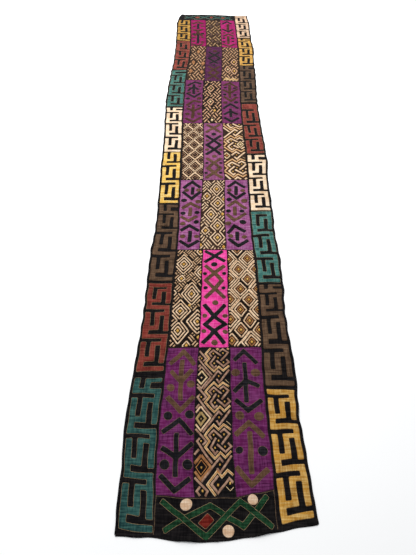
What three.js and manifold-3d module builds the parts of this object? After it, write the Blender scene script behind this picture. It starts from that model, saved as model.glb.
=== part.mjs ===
// Kuba raffia cloth: a long cloth pieced from raffia panels, with appliqué and embroidery, laid flat.
// Millimetres, +Z up. X runs across the cloth, and Y runs along it, away from the near end.
// Places in the tables are measured across from a line near the middle of the cloth,
// and along from the lowest point of the near hem. The last lines move the origin to the middle.
import * as THREE from "three";
import { mergeVertices } from "three/addons/utils/BufferGeometryUtils.js";
import Module from "manifold-3d";

const wasm = await Module();
wasm.setup();

// Driving sizes
const clothThickness = 1.5;
const appliqueThickness = 0.9;
const pieceGap = 0.32;
const rowCells = 8;
const endCells = 2;
const panelCells = 3;
const borderCells = 2;
const stripWidth = 16.5;
const circleSides = 20;
const circleFlattening = 0.95;
const prismDepth = 60;

const dyes = {
  ground: 0x1f1c1c,
  purple: 0x5f1f5f,
  pink: 0xe02d90,
  tan: 0xb08d6a,
  teal: 0x3f7470,
  red: 0x8e3a30,
  brown: 0x6b4a3a,
  yellow: 0xd9a94f,
  cream: 0xecd2b0,
  green: 0x1f4a34,
};

/** Turns rows of numbers into objects with one field for each named column. */
function table(columns, rows) {
  const names = columns.split(" ");
  return rows.map((row) => Object.fromEntries(names.map((name, i) => [name, row[i]])));
}

// The two outer edges and the two border seams, in places along the cloth.
const stations = table("along leftEdge leftSeam rightSeam rightEdge", [
  [0, -296, -168, 231, 357],
  [134, -302, -178, 224, 350],
  [274, -305, -184, 222, 346],
  [384, -311, -183, 218, 337],
  [494, -307, -178, 216, 343],
  [594, -300, -175, 216, 347],
  [684, -300, -172, 219, 343],
  [774, -291, -168, 224, 337],
  [879, -292, -167, 223, 337],
  [994, -291, -167, 225, 344],
  [1174, -293, -164, 224, 347],
  [1254, -291, -160, 221, 343],
  [1344, -285, -159, 216, 337],
  [1454, -280, -161, 216, 340],
  [1614, -286, -166, 219, 343],
  [1704, -285, -167, 219, 338],
  [1834, -291, -168, 223, 341],
  [1974, -293, -173, 224, 351],
  [2194, -295, -173, 222, 346],
  [2434, -305, -183, 215, 339],
  [2694, -315, -184, 217, 337],
  [2984, -308, -184, 223, 348],
  [3144, -301, -178, 226, 352],
  [3334, -292, -167, 230, 352],
  [3484, -293, -162, 237, 365],
  [3584, -291, -162, 232, 361],
  [3684, -296, -165, 232, 355],
  [3884, -299, -170, 229, 355],
  [4064, -307, -179, 226, 357],
  [4154, -297, -180, 223, 350],
  [4264, -270, -180, 222, 345],
]);

// The rows of three panels: where the seam on the near side of each row meets the left and the
// right border, and how far across the two inner seams stand at its near end, middle and far end.
const panelRows = table("left right nearA midA farA nearB midB farB", [
  [133, 150, -46, -53, -43, 92, 87, 87],
  [690, 694, -40, -36, -32, 82, 86, 89],
  [1244, 1244, -51, -47, -42, 85, 83, 90],
  [1791, 1795, -36, -38, -41, 86, 86, 86],
  [2394, 2391, -52, -54, -49, 83, 83, 84],
  [2992, 2964, -42, -38, -33, 86, 95, 100],
  [3589, 3549, -32, -37, -43, 98, 97, 90],
]);
const farSeam = { left: 4141, right: 4126 };
// The first row's near seam sags between the borders, down to these places at the inner seams.
const nearSag = { atA: 124, atB: 129 };
// The waving near hem and the far edge.
const nearHem = table("across along", [
  [-296, 15], [-190, 12], [-99, 2], [26, 0], [107, 10], [214, 28], [357, 50],
]);
const farEdge = table("across along", [[-270, 4262], [-140, 4266], [40, 4262], [222, 4240], [345, 4236]]);

// The colour of each row's outer panels and of its middle panel.
const rowDyes = [
  ["purple", "tan"], ["tan", "pink"], ["purple", "tan"], ["tan", "purple"],
  ["purple", "tan"], ["tan", "purple"], ["pink", "tan"],
];

// Low creases and ripples: the middle of each, its turn, its half length and width, and its height.
const creases = table("across along turn halfLength halfWidth height", [
  [30, 484, 0, 85, 75, 4.5],
  [-115, 289, 5, 80, 70, 5],
  [-245, 284, 3, 75, 75, 5],
  [25, 764, 0, 75, 70, 4],
  [-105, 1034, -25, 90, 75, 5],
  [300, 414, 8, 75, 75, 5.5],
  [295, 780, -5, 70, 70, 4],
  [290, 1344, 10, 75, 80, 6],
  [-235, 1454, 0, 75, 85, 5],
  [150, 1434, -10, 75, 75, 4],
  [-60, 30, 90, 75, 65, 4],
  [180, 60, 80, 85, 60, 5],
  [20, 1935, 5, 80, 75, 3.5],
  [20, 2640, -8, 85, 85, 4],
  [-110, 3300, 15, 90, 90, 5],
  [310, 3484, 0, 75, 95, 6],
  [-110, 3900, 0, 80, 85, 5],
  [-280, 4210, 45, 80, 75, 7],
]);

// The meander figures from the near end to the far end: the middle of each bar across, the far end,
// how the figure ends there, and how much the bars rise to the right at the near and the far end.
const leftMeanders = [
  { dye: "teal", bars: [39, 194, 344, 499], far: 554, end: "stub", nearTilt: -12, farTilt: 0 },
  { dye: "red", bars: [594, 744, 894, 1019], far: 1029, end: "joined", nearTilt: 4, farTilt: 0 },
  { dye: "brown", bars: [1057, 1220, 1379, 1516], far: 1579, end: "stub", nearTilt: 0, farTilt: 0 },
  { dye: "yellow", bars: [1603, 1779, 1944], far: 2060, end: "open", nearTilt: 4, farTilt: 8 },
  { dye: "cream", bars: [2079, 2244, 2404, 2544], far: 2590, end: "stub", nearTilt: 0, farTilt: 4 },
  { dye: "teal", bars: [2619, 2774, 2929, 3084], far: 3144, end: "cap", nearTilt: 0, farTilt: 4 },
  { dye: "red", bars: [3169, 3349, 3504, 3659], far: 3674, end: "closed", nearTilt: 0, farTilt: 0 },
  { dye: "yellow", bars: [3702, 3854, 4009], far: 4132, end: "open", nearTilt: -12, farTilt: 0 },
];
const rightMeanders = [
  { dye: "yellow", bars: [70, 219, 364, 497], far: 508, end: "closed", nearTilt: 18, farTilt: -4 },
  { dye: "brown", bars: [535, 699, 864, 989], far: 1026, end: "stub", nearTilt: 0, farTilt: 4 },
  { dye: "teal", bars: [1050, 1204, 1359, 1514], far: 1525, end: "joined", nearTilt: -2, farTilt: 4 },
  { dye: "cream", bars: [1545, 1684, 1829, 1979], far: 2038, end: "stub", nearTilt: 2, farTilt: 2 },
  { dye: "red", bars: [2066, 2224, 2386, 2582], far: 2640, end: "closed", nearTilt: 4, farTilt: 0 },
  { dye: "brown", bars: [2676, 2834, 2989, 3154], far: 3217, end: "stub", nearTilt: 4, farTilt: 0 },
  { dye: "yellow", bars: [3241, 3404, 3549, 3684], far: 3728, end: "stub", nearTilt: 0, farTilt: 0 },
  { dye: "cream", bars: [3761, 3909, 4059, 4208], far: 4228, end: "closed", nearTilt: 0, farTilt: 0 },
];
// A meander figure: its distance from the edge and the seam, half the height of a bar across,
// the slit that parts a joined end, and how a stub's arm sits, all in millimetres but the arm's share.
// Then the sides of its three upright bars, as shares of the figure's width, and the steps of one
// unit, as shares of the way from one bar across to the next nearer one.
const figure = {
  margin: 9.5,
  barHalf: 10,
  slit: 0.5,
  stubDrop: 2,
  armShare: 0.4,
  leftInner: 0.21,
  middleLeft: 0.4,
  middleRight: 0.6,
  rightInner: 0.8,
  upperSlot: 0.18,
  armBottom: 0.29,
  footTop: 0.65,
  footBottom: 0.785,
  rightEnd: 0.83,
};

// The near end's two crossing zigzag strips, its diamond and its three round patches.
const zigzags = [
  table("across along", [[-157, 116], [-7, 13], [105, 116], [208, 41]]),
  table("across along", [[-145, 29], [5, 103], [113, 42], [198, 133]]),
];
const diamondCorners = table("across along", [[-3, 80], [-34, 52], [-10, 35], [19, 60]]);
const roundPatches = table("across along radius", [[-74, 104, 20], [147, 120, 18], [64, 29, 19]]);

/** Straight mix of two numbers. */
function mix(a, b, share) {
  return a + (b - a) * share;
}

/** Reads a column of a table by straight steps between its rows. */
function readTable(rows, key, column, at) {
  const next = rows.findIndex((row) => row[key] >= at);
  if (next <= 0) return next === 0 ? rows[0][column] : rows.at(-1)[column];
  const [a, b] = [rows[next - 1], rows[next]];
  return mix(a[column], b[column], (at - a[key]) / (b[key] - a[key]));
}

/** How far across an edge or a border seam stands. */
function lineAt(column, along) {
  return readTable(stations, "along", column, along);
}

/** A bow through three values at the near end, the middle and the far end. */
function bow(near, middle, far, share) {
  return mix(near, far, share) + 4 * share * (1 - share) * (middle - (near + far) / 2);
}

/** Height of the cloth's underside: zero where it lies flat, and up to some millimetres in a crease. */
function reliefAt(x, y) {
  let height = 0;
  for (const crease of creases) {
    const turn = THREE.MathUtils.degToRad(crease.turn);
    const [dx, dy] = [x - crease.across, y - crease.along];
    const lengthwise = (dx * Math.cos(turn) + dy * Math.sin(turn)) / crease.halfLength;
    const sideways = (dy * Math.cos(turn) - dx * Math.sin(turn)) / crease.halfWidth;
    if (Math.abs(lengthwise) < 1 && Math.abs(sideways) < 1) {
      height += crease.height * (1 - lengthwise ** 2) ** 2 * (1 - sideways ** 2) ** 2;
    }
  }
  return height;
}

/** The cross lines of one row of panels: on each, the points where it meets the four lengthwise seams. */
function rowLines(index) {
  const row = panelRows[index];
  const next = panelRows[index + 1] ?? farSeam;
  return Array.from({ length: rowCells + 1 }, (_, step) => {
    const share = step / rowCells;
    const left = mix(row.left, next.left, share);
    const right = mix(row.right, next.right, share);
    const start = new THREE.Vector2(lineAt("leftSeam", left), left);
    const end = new THREE.Vector2(lineAt("rightSeam", right), right);
    const crossing = (x) => new THREE.Vector2(x, mix(left, right, (x - start.x) / (end.x - start.x)));
    const points = [
      start,
      crossing(bow(row.nearA, row.midA, row.farA, share)),
      crossing(bow(row.nearB, row.midB, row.farB, share)),
      end,
    ];
    if (index === 0) {
      points[1].y += (nearSag.atA - points[1].y) * (1 - share) ** 2;
      points[2].y += (nearSag.atB - points[2].y) * (1 - share) ** 2;
    }
    return points;
  });
}

/** The cross lines between a row seam and the curved hem beyond it, with the same number of points. */
function endLines(seamLine, hem) {
  return Array.from({ length: endCells + 1 }, (_, step) => {
    const share = step / endCells;
    return seamLine.map((point) => {
      const beyond = readTable(hem, "across", "along", point.x);
      return new THREE.Vector2(point.x, mix(point.y, beyond, share));
    });
  });
}

const rowGrids = panelRows.map((_, index) => rowLines(index));
const nearLines = endLines(rowGrids[0][0], nearHem).reverse();
const farLines = endLines(rowGrids.at(-1).at(-1), farEdge);

/** Every point of a border seam, from the near hem to the far edge. */
function seamPoints(corner) {
  const lines = [...nearLines, ...rowGrids.flatMap((lines) => lines.slice(1)), ...farLines.slice(1)];
  return lines.map((line) => line.at(corner));
}

/** Cells between two edges that have the same number of points, drawn in by half a gap all round. */
function panelGrid(leftEdge, rightEdge, cells, inset = { left: 1, right: 1, near: 1, far: 1 }) {
  const half = pieceGap / 2;
  return leftEdge.map((left, step) => {
    const right = rightEdge[step];
    let shift = 0;
    if (step === 0) shift = half * inset.near;
    if (step === leftEdge.length - 1) shift = -half * inset.far;
    const a = new THREE.Vector2(left.x + half * inset.left, left.y + shift);
    const b = new THREE.Vector2(right.x - half * inset.right, right.y + shift);
    return Array.from({ length: cells + 1 }, (_, i) => a.clone().lerp(b, i / cells));
  });
}

/** Joins grids that lie side by side into one. */
function joinGrids(...grids) {
  return grids[0].map((_, step) => grids.flatMap((grid, i) => (i ? grid[step].slice(1) : grid[step])));
}

/** A closed sheet over a grid of plan points, following the relief at a height above the underside. */
function sheetGeometry(grid, lift, thickness) {
  const columns = grid[0].length;
  const points = grid.flat();
  const positions = [];
  for (const level of [lift, lift + thickness]) {
    for (const { x, y } of points) positions.push(x, y, reliefAt(x, y) + level);
  }
  const top = points.length;
  const index = [];
  const quad = (a, b, c, d) => index.push(a, b, c, a, c, d);
  for (let row = 0; row < grid.length - 1; row += 1) {
    for (let column = 0; column < columns - 1; column += 1) {
      const a = row * columns + column;
      const [b, c, d] = [a + 1, a + columns + 1, a + columns];
      quad(top + a, top + b, top + c, top + d);
      index.push(a, c, b, a, d, c);
    }
  }
  const rim = [];
  const last = grid.length - 1;
  for (let column = 0; column < columns; column += 1) rim.push(column);
  for (let row = 1; row <= last; row += 1) rim.push(row * columns + columns - 1);
  for (let column = columns - 2; column >= 0; column -= 1) rim.push(last * columns + column);
  for (let row = last - 1; row > 0; row -= 1) rim.push(row * columns);
  rim.forEach((a, i) => {
    const b = rim[(i + 1) % rim.length];
    quad(a, b, top + b, top + a);
  });
  const geometry = new THREE.BufferGeometry();
  geometry.setAttribute("position", new THREE.Float32BufferAttribute(positions, 3));
  geometry.setIndex(index);
  return geometry;
}

/** Turns a closed geometry into a solid that can be joined and cut. */
function toSolid(geometry) {
  const bare = geometry.clone();
  bare.deleteAttribute("normal");
  bare.deleteAttribute("uv");
  const merged = mergeVertices(bare);
  return new wasm.Manifold(new wasm.Mesh({
    numProp: 3,
    vertProperties: new Float32Array(merged.attributes.position.array),
    triVerts: new Uint32Array(merged.index.array),
  }));
}

/** Turns a solid back into a geometry. */
function toGeometry(solid) {
  const { vertProperties, triVerts } = solid.getMesh();
  const geometry = new THREE.BufferGeometry();
  geometry.setAttribute("position", new THREE.BufferAttribute(vertProperties, 3));
  geometry.setIndex(new THREE.BufferAttribute(triVerts, 1));
  return geometry;
}

/** An upright prism over a plan outline, deep enough to pass through the whole cloth. */
function prism(outline) {
  const geometry = new THREE.ExtrudeGeometry(new THREE.Shape(outline), {
    depth: prismDepth,
    bevelEnabled: false,
  });
  return toSolid(geometry.translate(0, 0, -prismDepth / 2));
}

/** A flat piece sewn on the cloth: its outlines, joined, cut from a thin sheet above the panel's grid. */
function appliqueGeometry(grid, outlines) {
  const carrier = toSolid(sheetGeometry(grid, clothThickness + pieceGap, appliqueThickness));
  const shape = outlines.map(prism).reduce((whole, part) => whole.add(part));
  return toGeometry(carrier.intersect(shape));
}

/** Steps down the right side of a meander unit, from one bar across to the next nearer one. */
function unitRightSide(farBar, nearBar) {
  const pitch = farBar - nearBar;
  const at = (share) => farBar - share * pitch;
  return [
    [1, at(figure.rightEnd)],
    [figure.rightInner, at(figure.rightEnd)],
    [figure.rightInner, at(figure.armBottom)],
    [figure.middleRight, at(figure.armBottom)],
    [figure.middleRight, at(figure.footBottom)],
    [figure.leftInner, at(figure.footBottom)],
    [figure.leftInner, nearBar + figure.barHalf],
    [1, nearBar + figure.barHalf],
  ];
}

/** Steps up the left side of a meander unit. The left bar ends free, or just short of the bar across. */
function unitLeftSide(farBar, nearBar, isJoined) {
  const pitch = farBar - nearBar;
  const at = (share) => farBar - share * pitch;
  const barBottom = farBar - figure.barHalf;
  const leftTop = isJoined ? barBottom - figure.slit : at(figure.upperSlot);
  return [
    [0, leftTop],
    [figure.leftInner, leftTop],
    [figure.leftInner, at(figure.footTop)],
    [figure.middleLeft, at(figure.footTop)],
    [figure.middleLeft, at(figure.upperSlot)],
    [figure.rightInner, at(figure.upperSlot)],
    [figure.rightInner, barBottom],
    [0, barBottom],
  ];
}

/** The far end of a meander, from its left side to its right side. */
function farEndSteps(block, farBar) {
  const barTop = farBar + figure.barHalf;
  const stubTop = block.far - figure.stubDrop;
  const arm = mix(stubTop, barTop, figure.armShare);
  switch (block.end) {
    case "stub":
      return [
        [0, block.far],
        [figure.leftInner, block.far],
        [figure.leftInner, barTop],
        [figure.middleLeft, barTop],
        [figure.middleLeft, stubTop],
        [1, stubTop],
        [1, arm],
        [figure.middleRight, arm],
        [figure.middleRight, barTop],
        [1, barTop],
      ];
    case "cap":
      return [
        [0, block.far],
        [1, block.far],
        [1, arm],
        [figure.leftInner, arm],
        [figure.leftInner, barTop],
        [1, barTop],
      ];
    case "open":
      return [];
    default:
      return [[0, block.far], [1, block.far]];
  }
}

/** A meander's outline as shares across and millimetres along, for one colour block. */
function meanderSteps(block) {
  const bars = [...block.bars].reverse();
  const foot = bars.at(-1) - figure.barHalf;
  if (block.end === "open") {
    const pitch = (block.far - bars[0]) / (1 - figure.upperSlot);
    bars.unshift(bars[0] + pitch);
  }
  const steps = [[1, foot], [0, foot]];
  for (let i = bars.length - 2; i >= 0; i -= 1) {
    const side = unitLeftSide(bars[i], bars[i + 1], i === 0 && block.end === "joined");
    const isOpen = i === 0 && block.end === "open";
    steps.push(...(isOpen ? [...side.slice(0, 5), [1, block.far]] : side));
  }
  steps.push(...farEndSteps(block, bars[0]));
  for (let i = 0; i < bars.length - 1; i += 1) steps.push(...unitRightSide(bars[i], bars[i + 1]));
  return steps;
}

/** Places a meander on its border, between the outer edge and the border seam. */
function meanderOutline(block, leftLine, rightLine) {
  const [near, far] = [block.bars[0], block.far];
  return meanderSteps(block).map(([share, along]) => {
    const tilt = mix(block.nearTilt, block.farTilt, (along - near) / (far - near));
    const y = along + tilt * (share - 0.5);
    const x = mix(lineAt(leftLine, y) + figure.margin, lineAt(rightLine, y) - figure.margin, share);
    return new THREE.Vector2(x, y);
  });
}

/** A strip of even width along a short route, with square ends and mitred bends. */
function stripOutline(route, width) {
  const points = route.map(({ across, along }) => new THREE.Vector2(across, along));
  const normals = points.slice(1).map((point, i) => {
    const way = point.clone().sub(points[i]).normalize();
    return new THREE.Vector2(-way.y, way.x);
  });
  const side = (sign) => points.map((point, i) => {
    const a = normals[Math.max(i - 1, 0)];
    const b = normals[Math.min(i, normals.length - 1)];
    const mitre = a.clone().add(b).normalize();
    return point.clone().addScaledVector(mitre, (sign * width) / 2 / mitre.dot(a));
  });
  return [...side(-1), ...side(1).reverse()];
}

/** A round patch with slightly flattened sides. */
function roundOutline({ across, along, radius }) {
  return Array.from({ length: circleSides }, (_, i) => {
    const angle = (i / circleSides) * 2 * Math.PI;
    const rise = circleFlattening * radius * Math.sin(angle);
    return new THREE.Vector2(across + radius * Math.cos(angle), along + rise);
  });
}

const cloth = new THREE.Group();
cloth.name = "kuba_raffia_cloth";

/** Adds a named piece with its dye. */
function addPiece(name, geometry, dye) {
  const material = new THREE.MeshStandardMaterial({ color: dyes[dye], roughness: 0.9, metalness: 0 });
  const mesh = new THREE.Mesh(geometry, material);
  mesh.name = name;
  cloth.add(mesh);
}

/** Adds the three embroidered or appliquéd panels of every row. */
function addPanelRows() {
  rowGrids.forEach((lines, row) => {
    ["left", "middle", "right"].forEach((place, column) => {
      const [start, end] = [column, column + 1].map((seam) => lines.map((line) => line[seam]));
      const grid = panelGrid(start, end, panelCells);
      const dye = rowDyes[row][column === 1 ? 1 : 0];
      addPiece(`panel_${row + 1}_${place}`, sheetGeometry(grid, 0, clothThickness), dye);
    });
  });
}

/** The cross lines of one border between two places along it, with both ends included. */
function borderLines(inner, outerColumn, start, end) {
  const isWithin = (point) => point.y > start + 1 && point.y < end - 1;
  const places = [start, ...inner.filter(isWithin).map((point) => point.y), end];
  return places.map((along) => {
    const next = Math.max(1, inner.findIndex((point) => point.y >= along));
    const [a, b] = [inner[next - 1], inner[next]];
    const seam = new THREE.Vector2(mix(a.x, b.x, (along - a.y) / (b.y - a.y)), along);
    return { seam, outer: new THREE.Vector2(lineAt(outerColumn, along), along) };
  });
}

/** Adds one border: a black panel for each colour block, and the meander sewn on it. */
function addBorder(side, blocks) {
  const isLeft = side === "left";
  const inner = seamPoints(isLeft ? 0 : 3);
  const outerColumn = isLeft ? "leftEdge" : "rightEdge";
  const borderEnd = isLeft ? farSeam.left : inner.at(-1).y;
  let start = inner[0].y;
  blocks.forEach((block, i) => {
    const next = blocks[i + 1];
    const end = next ? (block.far + next.bars[0] - figure.barHalf) / 2 : borderEnd;
    const lines = borderLines(inner, outerColumn, start, end);
    if (i === 0) lines[0].outer.y = readTable(nearHem, "across", "along", lines[0].outer.x);
    const seams = lines.map((line) => line.seam);
    const outers = lines.map((line) => line.outer);
    const grid = isLeft
      ? panelGrid(outers, seams, borderCells, { left: 0, right: 1, near: 1, far: 1 })
      : panelGrid(seams, outers, borderCells, { left: 1, right: 0, near: 1, far: 1 });
    const outline = isLeft
      ? meanderOutline(block, "leftEdge", "leftSeam")
      : meanderOutline(block, "rightSeam", "rightEdge");
    addPiece(`border_${side}_${i + 1}`, sheetGeometry(grid, 0, clothThickness), "ground");
    addPiece(`meander_${side}_${i + 1}`, appliqueGeometry(grid, [outline]), block.dye);
    start = end;
  });
}

/** Adds the near end panel with its crossing strips, diamond and round patches. */
function addNearEnd() {
  const columns = [0, 1, 2].map((i) => panelGrid(
    nearLines.map((line) => line[i]),
    nearLines.map((line) => line[i + 1]),
    panelCells,
    { left: i === 0 ? 1 : 0, right: i === 2 ? 1 : 0, near: 0, far: 1 },
  ));
  const grid = joinGrids(...columns);
  addPiece("end_near", sheetGeometry(grid, 0, clothThickness), "ground");
  const strips = zigzags.map((route) => stripOutline(route, stripWidth));
  addPiece("interlace_near", appliqueGeometry(grid, strips), "green");
  const corners = diamondCorners.map(({ across, along }) => new THREE.Vector2(across, along));
  addPiece("diamond_near", appliqueGeometry(grid, [corners]), "red");
  roundPatches.forEach((patch, i) => {
    addPiece(`round_near_${i + 1}`, appliqueGeometry(grid, [roundOutline(patch)]), "cream");
  });
}

/** Adds the far end panel, which also closes the end of the left border. */
function addFarEnd() {
  const outers = farLines.map((line) => new THREE.Vector2(lineAt("leftEdge", line[0].y), line[0].y));
  const edges = [outers, ...[0, 1, 2, 3].map((i) => farLines.map((line) => line[i]))];
  const columns = edges.slice(1).map((edge, i) => panelGrid(
    edges[i],
    edge,
    borderCells,
    { left: 0, right: i === 3 ? 1 : 0, near: 1, far: 0 },
  ));
  addPiece("end_far", sheetGeometry(joinGrids(...columns), 0, clothThickness), "ground");
}

addPanelRows();
addBorder("left", leftMeanders);
addBorder("right", rightMeanders);
addNearEnd();
addFarEnd();

// The origin goes to the middle of the cloth, on the surface that it lies on.
const box = new THREE.Box3().setFromObject(cloth);
const middle = box.getCenter(new THREE.Vector3());
cloth.position.set(-middle.x, -middle.y, -box.min.z);

export default cloth;
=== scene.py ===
"""Looks of a kuba raffia cloth: pieced, embroidered and appliquéd raffia panels, laid flat on a pale floor.

The plan is in millimetres: across from a line near the middle, and along from the near hem's lowest point.
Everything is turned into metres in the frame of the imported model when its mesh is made.
"""

from __future__ import annotations

import logging
import math
from dataclasses import dataclass, field
from enum import Enum
from itertools import pairwise

import bpy
import numpy as np
from bpy.types import Material, NodeSocket, NodeTree, Object
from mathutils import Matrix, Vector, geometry


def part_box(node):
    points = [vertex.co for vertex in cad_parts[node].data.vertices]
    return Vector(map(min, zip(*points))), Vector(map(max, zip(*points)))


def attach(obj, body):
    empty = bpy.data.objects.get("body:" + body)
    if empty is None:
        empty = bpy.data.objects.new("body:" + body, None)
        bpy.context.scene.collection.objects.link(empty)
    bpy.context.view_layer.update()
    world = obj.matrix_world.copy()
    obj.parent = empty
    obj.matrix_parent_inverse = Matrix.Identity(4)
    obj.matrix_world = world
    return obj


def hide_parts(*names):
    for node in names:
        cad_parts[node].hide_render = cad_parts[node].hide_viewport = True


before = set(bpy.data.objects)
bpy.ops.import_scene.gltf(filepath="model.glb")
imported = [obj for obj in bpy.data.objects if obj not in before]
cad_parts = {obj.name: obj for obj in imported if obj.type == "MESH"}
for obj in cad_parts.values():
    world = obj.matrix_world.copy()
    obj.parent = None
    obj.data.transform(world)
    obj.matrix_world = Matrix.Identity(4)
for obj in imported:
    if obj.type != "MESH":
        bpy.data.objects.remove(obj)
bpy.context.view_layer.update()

LOG = logging.getLogger("kuba_raffia_cloth")
Spot = tuple[float, float]
Route = list[Spot]
Array = np.ndarray
# The motifs and nests are charted from the camera's foot, which is this far short of the near hem.
CAMERA_FOOT = 166
TINY = 1e-9

# The rectified plan that the part is cut from: the same tables as the part's own source, in millimetres.
STATION_COLUMNS = ("along", "left_edge", "left_seam", "right_seam", "right_edge")
STATIONS = np.array([
    [0, -296, -168, 231, 357], [134, -302, -178, 224, 350], [274, -305, -184, 222, 346],
    [384, -311, -183, 218, 337], [494, -307, -178, 216, 343], [594, -300, -175, 216, 347],
    [684, -300, -172, 219, 343], [774, -291, -168, 224, 337], [879, -292, -167, 223, 337],
    [994, -291, -167, 225, 344], [1174, -293, -164, 224, 347], [1254, -291, -160, 221, 343],
    [1344, -285, -159, 216, 337], [1454, -280, -161, 216, 340], [1614, -286, -166, 219, 343],
    [1704, -285, -167, 219, 338], [1834, -291, -168, 223, 341], [1974, -293, -173, 224, 351],
    [2194, -295, -173, 222, 346], [2434, -305, -183, 215, 339], [2694, -315, -184, 217, 337],
    [2984, -308, -184, 223, 348], [3144, -301, -178, 226, 352], [3334, -292, -167, 230, 352],
    [3484, -293, -162, 237, 365], [3584, -291, -162, 232, 361], [3684, -296, -165, 232, 355],
    [3884, -299, -170, 229, 355], [4064, -307, -179, 226, 357], [4154, -297, -180, 223, 350],
    [4264, -270, -180, 222, 345],
], float)

# Each row of panels: its near seam at the left and right border, and the two inner seams near, middle, far.
ROWS = [
    (133, 150, -46, -53, -43, 92, 87, 87),
    (690, 694, -40, -36, -32, 82, 86, 89),
    (1244, 1244, -51, -47, -42, 85, 83, 90),
    (1791, 1795, -36, -38, -41, 86, 86, 86),
    (2394, 2391, -52, -54, -49, 83, 83, 84),
    (2992, 2964, -42, -38, -33, 86, 95, 100),
    (3589, 3549, -32, -37, -43, 98, 97, 90),
]
FAR_SEAM = (4141, 4126)
NEAR_SAG = (124, 129)
NEAR_HEM = np.array([[-296, 15], [-190, 12], [-99, 2], [26, 0], [107, 10], [214, 28], [357, 50]], float)
FAR_EDGE = np.array([[-270, 4262], [-140, 4266], [40, 4262], [222, 4240], [345, 4236]], float)

# Creases of the part: across, along, turn in degrees, half length, half width, height.
CREASES = [
    (30, 484, 0, 85, 75, 4.5), (-115, 289, 5, 80, 70, 5), (-245, 284, 3, 75, 75, 5),
    (25, 764, 0, 75, 70, 4), (-105, 1034, -25, 90, 75, 5), (300, 414, 8, 75, 75, 5.5),
    (295, 780, -5, 70, 70, 4), (290, 1344, 10, 75, 80, 6), (-235, 1454, 0, 75, 85, 5),
    (150, 1434, -10, 75, 75, 4), (-60, 30, 90, 75, 65, 4), (180, 60, 80, 85, 60, 5),
    (20, 1935, 5, 80, 75, 3.5), (20, 2640, -8, 85, 85, 4), (-110, 3300, 15, 90, 90, 5),
    (310, 3484, 0, 75, 95, 6), (-110, 3900, 0, 80, 85, 5), (-280, 4210, 45, 80, 75, 7),
]
# Sharper fold lines on the crests of those creases, in the same columns.
FOLDS = [
    (25, 484, 1, 72, 9, 2.6), (-115, 289, 6, 70, 10, 2.4), (-245, 284, 3, 60, 10, 2.4),
    (25, 764, -2, 66, 10, 2.0), (-105, 1034, -25, 80, 10, 2.4), (300, 414, 8, 62, 11, 2.6),
    (295, 780, -5, 60, 10, 2.0), (290, 1344, 10, 64, 11, 2.6), (-235, 1454, -3, 62, 11, 2.4),
    (150, 1434, -12, 64, 10, 2.0), (-150, 640, 20, 50, 9, 1.6), (165, 560, -12, 55, 9, 1.8),
    (20, 1935, 5, 70, 11, 2.0), (20, 2640, -8, 74, 12, 2.2), (-110, 3300, 15, 80, 13, 2.6),
    (310, 3484, 0, 62, 13, 2.8), (-110, 3900, 4, 70, 13, 2.6),
]


class Dye(Enum):
    """The dyed raffias of the cloth, each with the name of one of the record's slots."""

    BLACK = "black_ground"
    PURPLE = "purple_panel"
    PINK = "pink_panel"
    TAN = "tan_embroidery"
    TEAL = "teal_applique"
    RED = "red_applique"
    BROWN = "brown_applique"
    YELLOW = "yellow_applique"
    CREAM = "cream_applique"
    GREEN = "green_applique"


class FigureEnd(Enum):
    """How a meander figure closes at its far end."""

    STUB = "stub"
    JOINED = "joined"
    OPEN = "open"
    CAP = "cap"
    CLOSED = "closed"


def linear(code: str) -> tuple[float, float, float, float]:
    """Turns an sRGB hex colour into Blender's linear colour.

    Args:
        code: Six hex digits, with or without a leading hash.

    Returns:
        Red, green, blue and alpha, each from 0 to 1.
    """
    parts = [int(code.lstrip("#")[i:i + 2], 16) / 255 for i in (0, 2, 4)]
    red, green, blue = (c / 12.92 if c <= 0.04045 else ((c + 0.055) / 1.055) ** 2.4 for c in parts)
    return red, green, blue, 1.0


def add_node(tree: NodeTree, kind: str, links: dict | None = None, **settings: object) -> bpy.types.Node:
    """Adds one shader node with its settings and links.

    Args:
        tree: The material's node tree.
        kind: The node's type name, less its first word.
        links: For each input's name or number, a value or another node's output socket.
        settings: Properties of the node itself.

    Returns:
        The new node.
    """
    node = tree.nodes.new(f"ShaderNode{kind}")
    for name, value in settings.items():
        setattr(node, name, value)
    for key, value in (links or {}).items():
        if isinstance(value, NodeSocket):
            tree.links.new(value, node.inputs[key])
        else:
            node.inputs[key].default_value = value
    return node


def start_material(name: str) -> tuple[Material, NodeTree]:
    """Makes an empty node material.

    Args:
        name: What the real material is and how it was made.

    Returns:
        The material and its node tree.
    """
    material = bpy.data.materials.new(name)
    material.use_nodes = True
    material.node_tree.nodes.clear()
    return material, material.node_tree


# Blender's wave texture repeats its bands every 0.314 m at scale 1.
WAVE_PERIOD = 0.31416


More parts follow.
